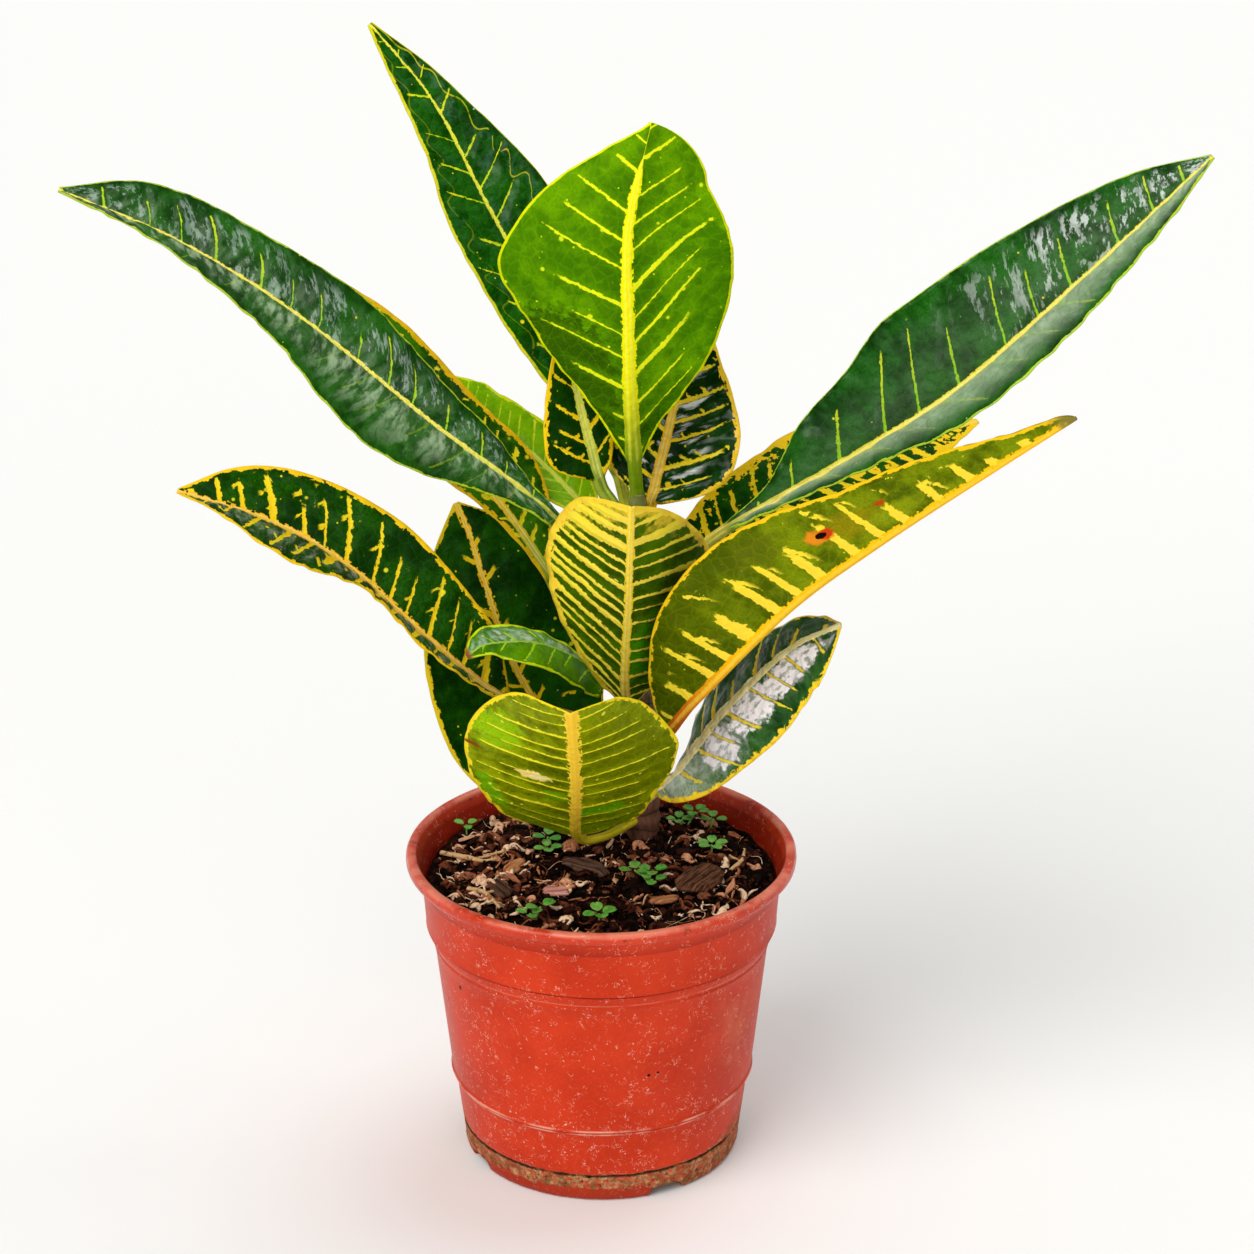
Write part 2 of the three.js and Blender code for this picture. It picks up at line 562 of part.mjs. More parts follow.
function headSolid(count, length, turn) {
  const positions = [0, 0, 0, 0, 0, -leafletThickness];
  for (let k = 0; k < count; k += 1) {
    leafletOutline.forEach(([step, reach]) => {
      const angle = radians(turn) + 2 * Math.PI * (k + step) / count;
      const x = length * reach * Math.cos(angle);
      const y = length * reach * Math.sin(angle);
      const z = leafletLift * length * reach * (k % 2 ? 1 : 0.6);
      positions.push(x, y, z, x, y, z - leafletThickness);
    });
  }
  const corners = count * leafletOutline.length;
  const triangles = [];
  for (let k = 0; k < corners; k += 1) {
    const a = 2 + 2 * k;
    const b = 2 + 2 * ((k + 1) % corners);
    triangles.push(0, a, b, 1, b + 1, a + 1, a, a + 1, b + 1, a, b + 1, b);
  }
  return meshGeometry(positions, triangles);
}

function seedlingSolid(seedling) {
  const [x, y] = seedling.root;
  return seedling.heads.reduce((solid, head) => {
    const [dx, dy, height, count, length, turn] = head;
    const blades = headSolid(count, length, turn);
    blades.translate(x + dx, y + dy, soilHeight(x + dx, y + dy) + height);
    const grown = seedlingStalk(seedling, head).add(toSolid(blades));
    return solid ? solid.add(grown) : grown;
  }, null);
}

// ---------------------------------------------------------------- bark chips and twigs
// at: middle on the soil; size: length, width, thickness; turn, tip and roll in degrees.
const chips = {
  chip_large: { at: [33, -12], size: [27, 13, 2.2], turn: 62, tip: 5, roll: 8, seed: 3 },
  chip_orange_left: { at: [-28.5, 0], size: [15, 6, 1.4], turn: 66, tip: 7, roll: 10, seed: 5 },
  chip_pink: { at: [-15, -20], size: [10, 6, 1.6], turn: 12, tip: 3, roll: 5, seed: 8 },
  chip_orange_front: { at: [21, -27], size: [11, 6, 1.4], turn: 30, tip: 4, roll: -6, seed: 13 },
  chip_brown_middle: { at: [-5, -3], size: [17, 9, 2], turn: -24, tip: 4, roll: 6, seed: 21 },
  chip_brown_left: { at: [-33, -18], size: [14, 8, 1.8], turn: 118, tip: 3, roll: -5, seed: 34 },
};

function chipSolid(chip, raisedSoil) {
  const [length, width, thickness] = chip.size;
  const draw = drawer(chip.seed);
  const corners = 9;
  const outline = new THREE.Shape();
  for (let k = 0; k < corners; k += 1) {
    const turn = 2 * Math.PI * k / corners;
    const reach = 0.82 + 0.3 * draw();
    const x = 0.5 * length * reach * Math.cos(turn);
    const y = 0.5 * width * reach * Math.sin(turn);
    if (k === 0) outline.moveTo(x, y);
    else outline.lineTo(x, y);
  }
  outline.closePath();
  const flake = new THREE.ExtrudeGeometry(outline, { depth: thickness, bevelEnabled: false });
  flake.rotateX(radians(chip.roll));
  flake.rotateY(radians(chip.tip));
  flake.rotateZ(radians(chip.turn));
  flake.translate(chip.at[0], chip.at[1], soilHeight(...chip.at) + 0.2);
  return toSolid(flake).subtract(raisedSoil);
}

// points: places on the soil with the height above it; radius at both ends.
const twigs = {
  twig_left: {
    points: [[-54, 11, 1.6], [-49, 8, 1.4], [-43, 4, 1.6], [-39, 3, 1.2], [-35, 4, 1.3]], radii: [0.7, 0.9, 0.8],
  },
  twig_front_left: { points: [[-44, -16, 1.3], [-38, -21, 1.5], [-33, -30, 1.3]], radii: [0.6, 0.8, 0.7] },
  twig_right: { points: [[43, -4, 1.3], [47, 4, 1.5], [48, 13, 1.2]], radii: [0.6, 0.7, 0.6] },
};

function twigSolid(twig, raisedSoil) {
  const points = twig.points.map(([x, y, above]) => [x, y, soilHeight(x, y) + above]);
  return toSolid(rod(points, twig.radii, 6, 10)).subtract(raisedSoil);
}

// ---------------------------------------------------------------- assembly
const stemClearance = toSolid(stemRod(fitGap));
const raisedSoil = soilBody(fitGap);

let soil = soilBody();
soil = soil.subtract(stemClearance);
Object.values(seedlings).forEach((seedling) => {
  soil = soil.subtract(seedlingHole(seedling));
});

addPiece('pot', toGeometry(potSolid()), potFinish);
addPiece('soil', toGeometry(soil), soilFinish);
addPiece('stem', stemRod(0), stemFinish);
Object.entries(leaves).forEach(([name, leaf]) => {
  addPiece(name, toGeometry(leafSolid(leaf).subtract(stemClearance)), leaf.finish);
});
Object.entries(seedlings).forEach(([name, seedling]) => {
  addPiece(name, toGeometry(seedlingSolid(seedling)), seedlingFinish);
});
Object.entries(chips).forEach(([name, chip]) => {
  addPiece(name, toGeometry(chipSolid(chip, raisedSoil)), barkFinish);
});
Object.entries(twigs).forEach(([name, twig]) => {
  addPiece(name, toGeometry(twigSolid(twig, raisedSoil)), twigFinish);
});

export default croton;
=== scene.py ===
import json
import math
import random

import bmesh
import bpy
import numpy as np
from mathutils import Matrix, Vector, noise


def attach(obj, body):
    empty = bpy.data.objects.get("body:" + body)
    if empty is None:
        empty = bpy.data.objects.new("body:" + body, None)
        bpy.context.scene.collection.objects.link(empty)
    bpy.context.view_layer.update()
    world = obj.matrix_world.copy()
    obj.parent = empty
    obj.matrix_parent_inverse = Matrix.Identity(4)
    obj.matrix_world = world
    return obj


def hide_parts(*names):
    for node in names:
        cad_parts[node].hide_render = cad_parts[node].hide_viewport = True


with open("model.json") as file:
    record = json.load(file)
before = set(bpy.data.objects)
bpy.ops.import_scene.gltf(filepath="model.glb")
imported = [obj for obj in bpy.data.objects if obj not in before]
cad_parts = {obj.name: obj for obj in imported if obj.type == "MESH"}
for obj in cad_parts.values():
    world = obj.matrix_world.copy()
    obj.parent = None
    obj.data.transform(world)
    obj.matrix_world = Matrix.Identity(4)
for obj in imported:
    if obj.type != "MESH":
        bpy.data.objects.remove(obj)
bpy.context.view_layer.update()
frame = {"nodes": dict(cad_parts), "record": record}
mm = 0.001
print("frame loaded,", len(frame["nodes"]), "nodes")


# A colour as a picker shows it, turned into Blender's linear values.
def paint(code):
    parts = [int(code[i:i + 2], 16) / 255 for i in (1, 3, 5)]
    return tuple(p / 12.92 if p <= 0.04045 else ((p + 0.055) / 1.055) ** 2.4 for p in parts) + (1,)


# A socket that can stand in an expression: each operator adds a Math node.
class Wire:
    def __init__(self, bench, socket):
        self.bench = bench
        self.socket = socket

    def math(self, operation, *others):
        return self.bench.math(operation, self, *others)

    def __add__(self, other):
        return self.math("ADD", other)

    def __radd__(self, other):
        return self.math("ADD", other)

    def __sub__(self, other):
        return self.math("SUBTRACT", other)

    def __rsub__(self, other):
        return self.bench.math("SUBTRACT", other, self)

    def __mul__(self, other):
        return self.math("MULTIPLY", other)

    def __rmul__(self, other):
        return self.math("MULTIPLY", other)

    def __truediv__(self, other):
        return self.math("DIVIDE", other)

    def __rtruediv__(self, other):
        return self.bench.math("DIVIDE", other, self)

    def __gt__(self, other):
        return self.math("GREATER_THAN", other)

    def __lt__(self, other):
        return self.math("LESS_THAN", other)

    def __abs__(self):
        return self.math("ABSOLUTE")


# One material and its nodes; base is the colour as far as it is painted.
class Bench:
    def __init__(self, name, ground="#ffffff"):
        self.material = bpy.data.materials.new(name)
        self.material.use_nodes = True
        self.tree = self.material.node_tree
        self.tree.nodes.clear()
        self.base = paint(ground)

    def node(self, kind, settings=None, values=None, out=0):
        made = self.tree.nodes.new(kind)
        for key, value in (settings or {}).items():
            if key == "stops":
                self.fillRamp(made.color_ramp, value)
            else:
                setattr(made, key, value)
        for key, value in (values or {}).items():
            if isinstance(value, Wire):
                self.tree.links.new(value.socket, made.inputs[key])
            else:
                made.inputs[key].default_value = value
        return Wire(self, made.outputs[out])

    def fillRamp(self, ramp, stops):
        while len(ramp.elements) < len(stops):
            ramp.elements.new(0.5)
        for element, (place, color) in zip(ramp.elements, stops):
            element.position = place
            element.color = color

    def math(self, operation, *values):
        return self.node("ShaderNodeMath", {"operation": operation}, dict(enumerate(values)))

    def sine(self, value):
        return self.math("SINE", value)

    def fade(self, value, low, high):  # 0 at low, 1 at high
        settings = {"interpolation_type": "SMOOTHSTEP"}
        return self.node("ShaderNodeMapRange", settings, {0: value, 1: low, 2: high})

    def band(self, value, middle, outer, inner):  # 1 within inner of the middle, 0 beyond outer
        return self.fade(abs(value - middle), outer, inner)

    def cloudy(self, low, high, *pattern):  # a noise as a mask between two of its levels
        return self.fade(self.noise(*pattern), low, high)

    def blend(self, factor, first, second, how="MIX"):
        settings = {"data_type": "RGBA", "blend_type": how}
        return self.node("ShaderNodeMix", settings, {0: factor, 6: first, 7: second}, 2)

    def cover(self, share, color):  # one more layer over the colour so far
        self.base = self.blend(share, self.base, paint(color) if isinstance(color, str) else color)

    def uv(self, name):
        return self.node("ShaderNodeUVMap", {"uv_map": name})

    def place(self):
        return self.node("ShaderNodeTexCoord", out="Object")

    def tone(self):  # what addTone has written on the points
        return self.node("ShaderNodeAttribute", {"attribute_name": "tone"}, out="Fac")

    def length(self, vector):
        return self.node("ShaderNodeVectorMath", {"operation": "LENGTH"}, {0: vector}, "Value")

    def parts(self, vector):
        split = self.node("ShaderNodeSeparateXYZ", values={0: vector}).socket.node
        return [Wire(self, split.outputs[i]) for i in range(3)]

    def join(self, x, y, z=0.0):
        return self.node("ShaderNodeCombineXYZ", values={0: x, 1: y, 2: z})

    def stretch(self, vector, scale):
        return self.node("ShaderNodeVectorMath", {"operation": "MULTIPLY"}, {0: vector, 1: scale})

    def noise(self, vector, scale, detail=2.0, seed=0.0, roughness=0.5):
        values = {"Vector": vector, "W": seed, "Scale": scale, "Detail": detail, "Roughness": roughness}
        return self.node("ShaderNodeTexNoise", {"noise_dimensions": "4D"}, values)

    # Round spots in a share of the cells of a given size; the radius is a share of the cell.
    def dots(self, vector, cell, share, radius, seed=0.0):
        settings = {"voronoi_dimensions": "4D"}
        values = {"Vector": vector, "W": seed, "Scale": 1 / cell}
        spot = self.node("ShaderNodeTexVoronoi", settings, values)
        luck = self.parts(Wire(self, spot.socket.node.outputs["Color"]))[0]
        size = self.fade(luck, 1 - share, 1) * radius
        return self.fade(spot, size + 0.02, size * 0.6)

    def surface(self, values, bump=None):
        values = {"Base Color": self.base, **values}
        if bump is not None:
            height, strength, distance = bump
            settings = {"Strength": strength, "Distance": distance, "Height": height}
            values["Normal"] = self.node("ShaderNodeBump", values=settings)
        shader = self.node("ShaderNodeBsdfPrincipled", values=values)
        out = self.tree.nodes.new("ShaderNodeOutputMaterial")
        self.tree.links.new(shader.socket, out.inputs["Surface"])
        return self.material


def addMesh(name, points, faces, materials, smooth=True):
    mesh = bpy.data.meshes.new(name)
    mesh.from_pydata([tuple(p) for p in points], [], [tuple(f) for f in faces])
    for material in materials:
        mesh.materials.append(material)
    mesh.polygons.foreach_set("use_smooth", [smooth] * len(mesh.polygons))
    mesh.update()
    piece = bpy.data.objects.new(name, mesh)
    bpy.context.scene.collection.objects.link(piece)
    return piece


def addUv(piece, name, perPoint):
    layer = piece.data.uv_layers.new(name=name)
    corners = np.zeros(len(piece.data.loops), int)
    piece.data.loops.foreach_get("vertex_index", corners)
    layer.data.foreach_set("uv", np.asarray(perPoint, np.float32)[corners].ravel())


def addTone(piece, perPoint):  # one number a point, read by the finishes as "tone"
    layer = piece.data.attributes.new("tone", "FLOAT", "POINT")
    layer.data.foreach_set("value", np.asarray(perPoint, np.float32))


def settle(piece, slot, *nodes):
    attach(piece, "root")
    if nodes:
        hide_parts(*nodes)


def mix(a, b, f):
    return a + (b - a) * f


def ease(x):
    x = np.clip(x, 0, 1)
    return x * x * (3 - 2 * x)


def unit(vectors):
    return vectors / np.linalg.norm(vectors, axis=-1, keepdims=True)


# Smooth curve through values at equal steps, for t from 0 to 1.
def curveValue(values, t):
    values = np.asarray(values, float)
    steps = len(values) - 1
    padded = np.concatenate([[2 * values[0] - values[1]], values, [2 * values[-1] - values[-2]]])
    place = np.clip(t, 0, 1) * steps
    i = np.minimum(place.astype(int), steps - 1)
    f = place - i
    if values.ndim > 1:
        f = f[..., None]
    a, b, c, d = (padded[i + k] for k in range(4))
    bend = 2 * a - 5 * b + 4 * c - d
    return 0.5 * (2 * b + (c - a) * f + bend * f ** 2 + (3 * b - a - 3 * c + d) * f ** 3)


# A route through points, walked at an even pace.
class Route:
    samples = 200

    def __init__(self, points):
        self.points = np.array(points, float)
        walked = curveValue(self.points, np.linspace(0, 1, self.samples + 1))
        steps = np.linalg.norm(np.diff(walked, axis=0), axis=1)
        self.lengths = np.concatenate([[0], np.cumsum(steps)])
        self.length = self.lengths[-1]

    def at(self, t):
        target = np.clip(np.asarray(t, float), 0, 1) * self.length
        i = np.clip(np.searchsorted(self.lengths, target), 1, self.samples)
        f = (target - self.lengths[i - 1]) / (self.lengths[i] - self.lengths[i - 1])
        return curveValue(self.points, (i - 1 + f) / self.samples)

    def along(self, t):
        step = 0.001
        return unit(self.at(np.minimum(t + step, 1)) - self.at(np.maximum(t - step, 0)))


# Points and faces of a tapering tube; radius is a function of t and of the turn round it.
def tube(points, radius, sides, rings):
    route = Route(points)
    t = np.linspace(0, 1, rings + 1)
    middle = route.at(t)
    forward = route.along(t)
    side = np.array([0.0, 1.0, 0.0]) if abs(forward[0][1]) < 0.8 else np.array([1.0, 0.0, 0.0])
    turns = np.linspace(0, 2 * math.pi, sides, endpoint=False)
    corners = []
    for i in range(rings + 1):
        side = side - forward[i] * np.dot(side, forward[i])
        side = side / np.linalg.norm(side)
        other = np.cross(forward[i], side)
        reach = radius(t[i], turns)
        ring = middle[i] + np.outer(reach * np.cos(turns), side) + np.outer(reach * np.sin(turns), other)
        corners += list(ring)
    faces = []
    for i in range(rings):
        for k in range(sides):
            a = i * sides + k
            b = i * sides + (k + 1) % sides
            faces.append((a, b, b + sides, a + sides))
    faces.append(tuple(range(sides))[::-1])
    faces.append(tuple(rings * sides + k for k in range(sides)))
    return corners, faces


# Faces of a turned body: rings of points between its two end points, which come first and last.
def turnedFaces(rings, sides):
    faces = []
    last = 1 + (rings - 1) * sides
    for k in range(sides):
        after = (k + 1) % sides
        faces.append((0, 1 + after, 1 + k))
        for a in range(1, last, sides):
            faces.append((a + k, a + after, a + sides + after, a + sides + k))
        faces.append((last + k, last + after, last + sides))
    return faces


def flipped(faces):
    return [(face[0], *face[:0:-1]) for face in faces]


# Faces of a two-sided sheet: the points of its upper grid come first, then those of its lower one.
def sheetFaces(rows, columns):
    lower = rows * columns
    starts = [i * columns + j for i in range(rows - 1) for j in range(columns - 1)]
    upper = [(a, a + 1, a + columns + 1, a + columns) for a in starts]
    under = [tuple(lower + corner for corner in face) for face in flipped(upper)]
    last = lower - columns
    sides = []
    for p in range(0, last, columns):
        sides += [(p, p + columns), (p + 2 * columns - 1, p + columns - 1)]
    for k in range(columns - 1):
        sides += [(k + 1, k), (last + k, last + k + 1)]
    return upper, under, [(p, q, q + lower, p + lower) for p, q in sides]


def ringPlaces(radius, turns):
    return [(radius * math.cos(a), radius * math.sin(a)) for a in turns]


def bumpAt(x, y, z):  # smooth noise, about -1 to 1
    return noise.noise(Vector((x, y, z)))


def tilted(z, y, x):  # turned about x, then y, then z, by radians
    return Matrix.Rotation(z, 3, "Z") @ Matrix.Rotation(y, 3, "Y") @ Matrix.Rotation(x, 3, "X")


# Several loose bodies gathered into one piece.
class Heap:
    def __init__(self):
        self.points = []
        self.faces = []
        self.tones = []

    def add(self, points, faces, tone):
        start = len(self.points)
        self.points += [tuple(p) for p in points]
        self.faces += [tuple(start + n for n in f) for f in faces]
        self.tones += [tone] * len(points)

    def piece(self, name, material, smooth=True):
        made = addMesh(name, np.array(self.points) * mm, self.faces, [material], smooth)
        addTone(made, self.tones)
        return made


# The camera stands where the photograph was taken from.
view = dict(place=(8.55, -1200, 687.5), pitch=22.62, focal=4000, frameWidth=1254, sensor=36)


def addCamera():
    data = bpy.data.cameras.new("camera")
    data.sensor_width = view["sensor"]
    data.lens = view["focal"] / view["frameWidth"] * view["sensor"]
    data.clip_end = 20
    camera = bpy.data.objects.new("camera", data)
    camera.location = Vector(view["place"]) * mm
    camera.rotation_euler = (math.radians(90 - view["pitch"]), 0, 0)
    bpy.context.scene.collection.objects.link(camera)
    bpy.context.scene.camera = camera


# Soft daylight: a wide window high at the left front, the sky overhead and a low fill from the front.
lamps = dict(
    window=dict(aim=(0.455, 0.542, -0.707), spread=46, power=1.9, color=(1, 0.985, 0.95)),
    overhead=dict(aim=(-0.25, -0.3, -0.92), spread=40, power=0.95, color=(0.98, 0.99, 1)),
    fill=dict(aim=(-0.3, 0.95, -0.1), spread=50, power=0.85, color=(1, 0.99, 0.97)),
)
studio = dict(world=0.3, floor="#fbfbfa", grain="#ececea", floorSize=9.0, floorCells=6)


def addStudio():
    for name, lamp in lamps.items():
        data = bpy.data.lights.new(name, "SUN")
        data.angle = math.radians(lamp["spread"])
        data.energy = lamp["power"]
        data.color = lamp["color"]
        light = bpy.data.objects.new(name, data)
        light.location = Vector(lamp["aim"]) * -2
        light.rotation_euler = Vector(lamp["aim"]).to_track_quat("-Z", "Y").to_euler()
        bpy.context.scene.collection.objects.link(light)
    world = bpy.data.worlds.new("paleRoom")
    world.use_nodes = True
    world.node_tree.nodes["Background"].inputs[0].default_value = (1, 1, 1, 1)
    world.node_tree.nodes["Background"].inputs[1].default_value = studio["world"]
    bpy.context.scene.world = world
    bpy.context.scene.view_settings.view_transform = "Standard"
    bench = Bench("paleFloor", studio["floor"])
    bench.cover(bench.noise(bench.place(), 3.0, 3) * 0.04, studio["grain"])
    half, cells = studio["floorSize"] / 2, studio["floorCells"]
    cuts = np.linspace(-half, half, cells + 1)
    points = [(x, y, 0) for y in cuts for x in cuts]
    starts = [(cells + 1) * j + i for j in range(cells) for i in range(cells)]
    faces = [(a, a + 1, a + cells + 2, a + cells + 1) for a in starts]
    floor = addMesh("floor", points, faces, [bench.surface({"Roughness": 0.9})])


addCamera()
addStudio()
print("camera and studio set")

# The pot's sizes are those of its solid, in millimetres.
pot = dict(
    rimRadius=65, height=108, footRadius=46.6, baseRadius=44.6, rake=0.13, upperRake=0.116, step=0.8,
    lip=4, wall=1.5, floor=2, lipInner=61.4, collar=58.7, flare=0.6, collarBottom=82.5, shoulderBottom=77,
    ridge=28, groove=10, slots=4, slotWidth=13, slotHeight=3.6, slotReach=6, slotTurn=-62, sides=300,
    plastic="#c0300f", bright="#d03a18", deep="#b22a14", glow="#e04a26", inside="#7c150e", rubbed="#dd8468",
    speck="#fad2c0", dullSpeck="#e5806a", scratch="#f6b7a0",
    mud=("#7c4a28", "#c99a6a", "#6a4a26", "#d3b380"),
)


def wallRadius(z):
    lower = pot["footRadius"] + pot["rake"] * (min(z, pot["ridge"]) - pot["lip"])
    if z <= pot["ridge"]:
        return lower
    return lower + pot["step"] + pot["upperRake"] * (z - pot["ridge"])


def potFinish():
    bench = Bench("potPlastic", pot["plastic"])
    meanRadius = 52  # of the wall
    lipBottom = pot["height"] - pot["lip"]
    place = bench.place()
    x, y, z = bench.parts(place)
    z = z / mm
    turn = bench.math("ARCTAN2", x, 0 - y)  # 0 at the front, positive to the right
    solid = bench.stretch(place, (1000, 1000, 1000))
    wall = bench.join(turn * meanRadius, z)  # the wall laid flat, in millimetres
    cloud = bench.noise(solid, 0.045, 4, 1)
    bench.cover(bench.fade(cloud, 0.35, 0.65), pot["bright"])
    bench.cover(bench.cloudy(0.5, 0.7, solid, 0.02, 3, 5) * 0.4, pot["deep"])
    bench.cover(bench.cloudy(0.45, 0.7, solid, 0.9, 3, 6) * 0.2, pot["glow"])
    # painted shade on the inner wall above the soil
    inside = bench.fade(bench.math("POWER", x * x + y * y, 0.5) / mm, 61.2, 59.4) * (z > 98)
    bench.cover(inside * 0.6, pot["inside"])
    # a hazy rubbed place at the right
    haze = bench.band(turn, 1.05, 0.4, 0.1) * bench.band(z, 58, 34, 8)
    haze = haze * bench.cloudy(0.42, 0.66, bench.join(turn * (meanRadius / 2), z * 0.4), 0.16, 4, 9)
    bench.cover(haze * 0.35, pot["rubbed"])
    # fine bright specks in drifts, denser low down
    drift = bench.noise(solid, 0.07, 4, 12) + bench.fade(z, 80, 15) * 0.07
    drift = bench.fade(drift, 0.42, 0.64)
    specks = bench.dots(solid, 1.0, 0.3, 0.3, 2) * (drift * 0.9 + 0.06)
    specks = specks + bench.dots(solid, 2.3, 0.3, 0.2, 7) * (drift * 0.7 + 0.25)
    bench.cover(specks * 0.85, pot["speck"])
    dull = bench.dots(solid, 1.6, 0.25, 0.34, 17) * drift
    bench.cover(dull * 0.25, pot["dullSpeck"])
    # short curved hair scratches
    scratch = 0
    for k, (scale, where) in enumerate(((0.5, 0.34), (0.75, 0.4), (0.32, 0.3))):
        lines = bench.noise(solid, scale, 1, 20 + k)
        here = bench.fade(bench.noise(solid, where, 2, 30 + k) + drift * 0.05, 0.6, 0.66)
        scratch = bench.band(lines, 0.5, scale * 0.11 / 3, scale * 0.01) * here + scratch
    bench.cover(scratch * 0.5, pot["scratch"])
    # painted shade lines where the band steps in to the wall and under the lip, and a broken painted
    # highlight line on the shoulder
    broken = bench.cloudy(0.36, 0.5, wall, 0.08, 3, 33)
    bench.cover(bench.band(z, pot["collarBottom"] - 0.2, 0.55, 0.2) * (0.3 + broken * 0.5), "#7a170b")
    bench.cover(bench.band(z, pot["shoulderBottom"] + 1.6, 0.4, 0.1) * broken * 0.3, "#f09a80")
    bench.cover(bench.band(z, lipBottom - 0.6, 0.9, 0.3) * 0.45, "#8c1c10")
    # painted highlights on the moulded ridge's two beads, and a painted shade line in the groove between
    # them
    beads = bench.band(abs(z - pot["ridge"]), 0.8, 0.5, 0.1)
    bench.cover(beads * bench.cloudy(0.38, 0.6, wall, 0.11, 3, 35) * 0.65, "#f6b49a")
    bench.cover(bench.band(z, pot["ridge"], 0.35, 0.1) * 0.5, "#9c2412")
    # caked soil between the groove and the foot's edge: higher at both sides, to the floor at the right
    ripple = bench.noise(wall, 0.16, 4, 40) - 0.5
    fray = bench.noise(solid, 0.8, 3, 42) - 0.5
    crest = 10.6 + ripple * 3 + fray * 1.5
    crest = crest + bench.fade(turn, 0.75, 1.45) * 9 + bench.fade(turn, -1.05, -1.5) * 7
    low = 4.4 - bench.fade(turn, 0.3, 0.62) * 7 - bench.fade(turn, -0.9, -1.4) * 3 + ripple * 7 + fray * 3
    caked = bench.fade(z, crest + 0.35, crest - 0.35) * bench.fade(z, low - 0.4, low + 0.4)
    high = bench.fade(z, 9.5, 13.5)
    gaps = bench.cloudy(0.44, 0.52, solid, 0.5, 4, 44, 0.65)
    caked = caked * (1 - high * 0.62) * (0.4 + gaps * 0.6)
    crumbs = bench.noise(solid, 0.75, 4, 50, 0.65)
    lumps = bench.noise(solid, 0.22, 3, 51)
    brown, tan, olive, sand = (paint(color) for color in pot["mud"])
    mud = bench.blend(bench.fade(crumbs, 0.36, 0.62), brown, tan)
    mud = bench.blend(bench.fade(lumps, 0.45, 0.62) * 0.7, mud, olive)
    mud = bench.blend(bench.fade(crumbs, 0.6, 0.7) * 0.7, mud, sand)
    mud = bench.blend(bench.fade(crumbs, 0.4, 0.34), mud, paint("#22120a"))
    bench.cover(caked * 0.94, mud)
    # darker red towards the foot where no soil is caked
    darkerFoot = bench.fade(z, 9, 3) * (1 - caked)
    bench.cover(darkerFoot * 0.55, "#7e2a18")
    crackLine = 9.9 + ripple * 1.2 + fray * 0.7
    crackOpen = bench.cloudy(0.38, 0.52, wall, 0.13, 3, 57)
    cracks = bench.fade(abs(z - crackLine), 0.3 + crackOpen * 0.45, 0.08) * (0.35 + crackOpen * 0.65)
    cracks = cracks * bench.fade(turn, 1.5, 1.0)
    spots = bench.dots(solid, 4.5, 0.4, 0.13, 59) * bench.fade(z, 26, 18) * bench.fade(turn, 0.9, 1.3)
    cracks = bench.math("MAXIMUM", cracks, spots)
    bench.cover(cracks * 0.92, "#170b06")
    pits = bench.dots(solid, 15, 0.12, 0.05, 60)
    for around, level, size in ((-0.98, 72, 0.8), (-1.2, 62, 0.5), (0.3, 50, 0.55), (0.36, 50.5, 0.5)):
        reach = bench.length(bench.join((turn - around) * meanRadius / size, (z - level) / size))
        pits = bench.math("MAXIMUM", pits, bench.fade(reach + fray, 1.1, 0.8))
    bench.cover(pits, "#190705")
    # dark bruises along the lip, and a painted highlight along its top
    lip = z > lipBottom - 0.4
    bench.cover(bench.cloudy(0.63, 0.69, solid, 0.3, 3, 70) * lip * 0.75, "#6e160e")
    lipHighlight = bench.fade(z, 106.3, 107.7) * bench.cloudy(0.36, 0.6, solid, 0.09, 3, 72)
    bench.cover(lipHighlight * 0.55, "#fb9f84")
    shine = 0.32 + cloud * 0.14 + haze * 0.25 + caked * 0.5 + specks * 0.1 - lip * 0.1
    relief = specks * 0.3 + caked * crumbs * 4 - scratch * 0.15 - pits * 2 - cracks * 3
    values = {"Roughness": shine, "Coat Weight": lip * 0.35 + (1 - caked) * 0.03, "Coat Roughness": 0.22,
              "Specular IOR Level": 0.1}
    return bench.surface(values, (relief, 0.6, 0.0003))


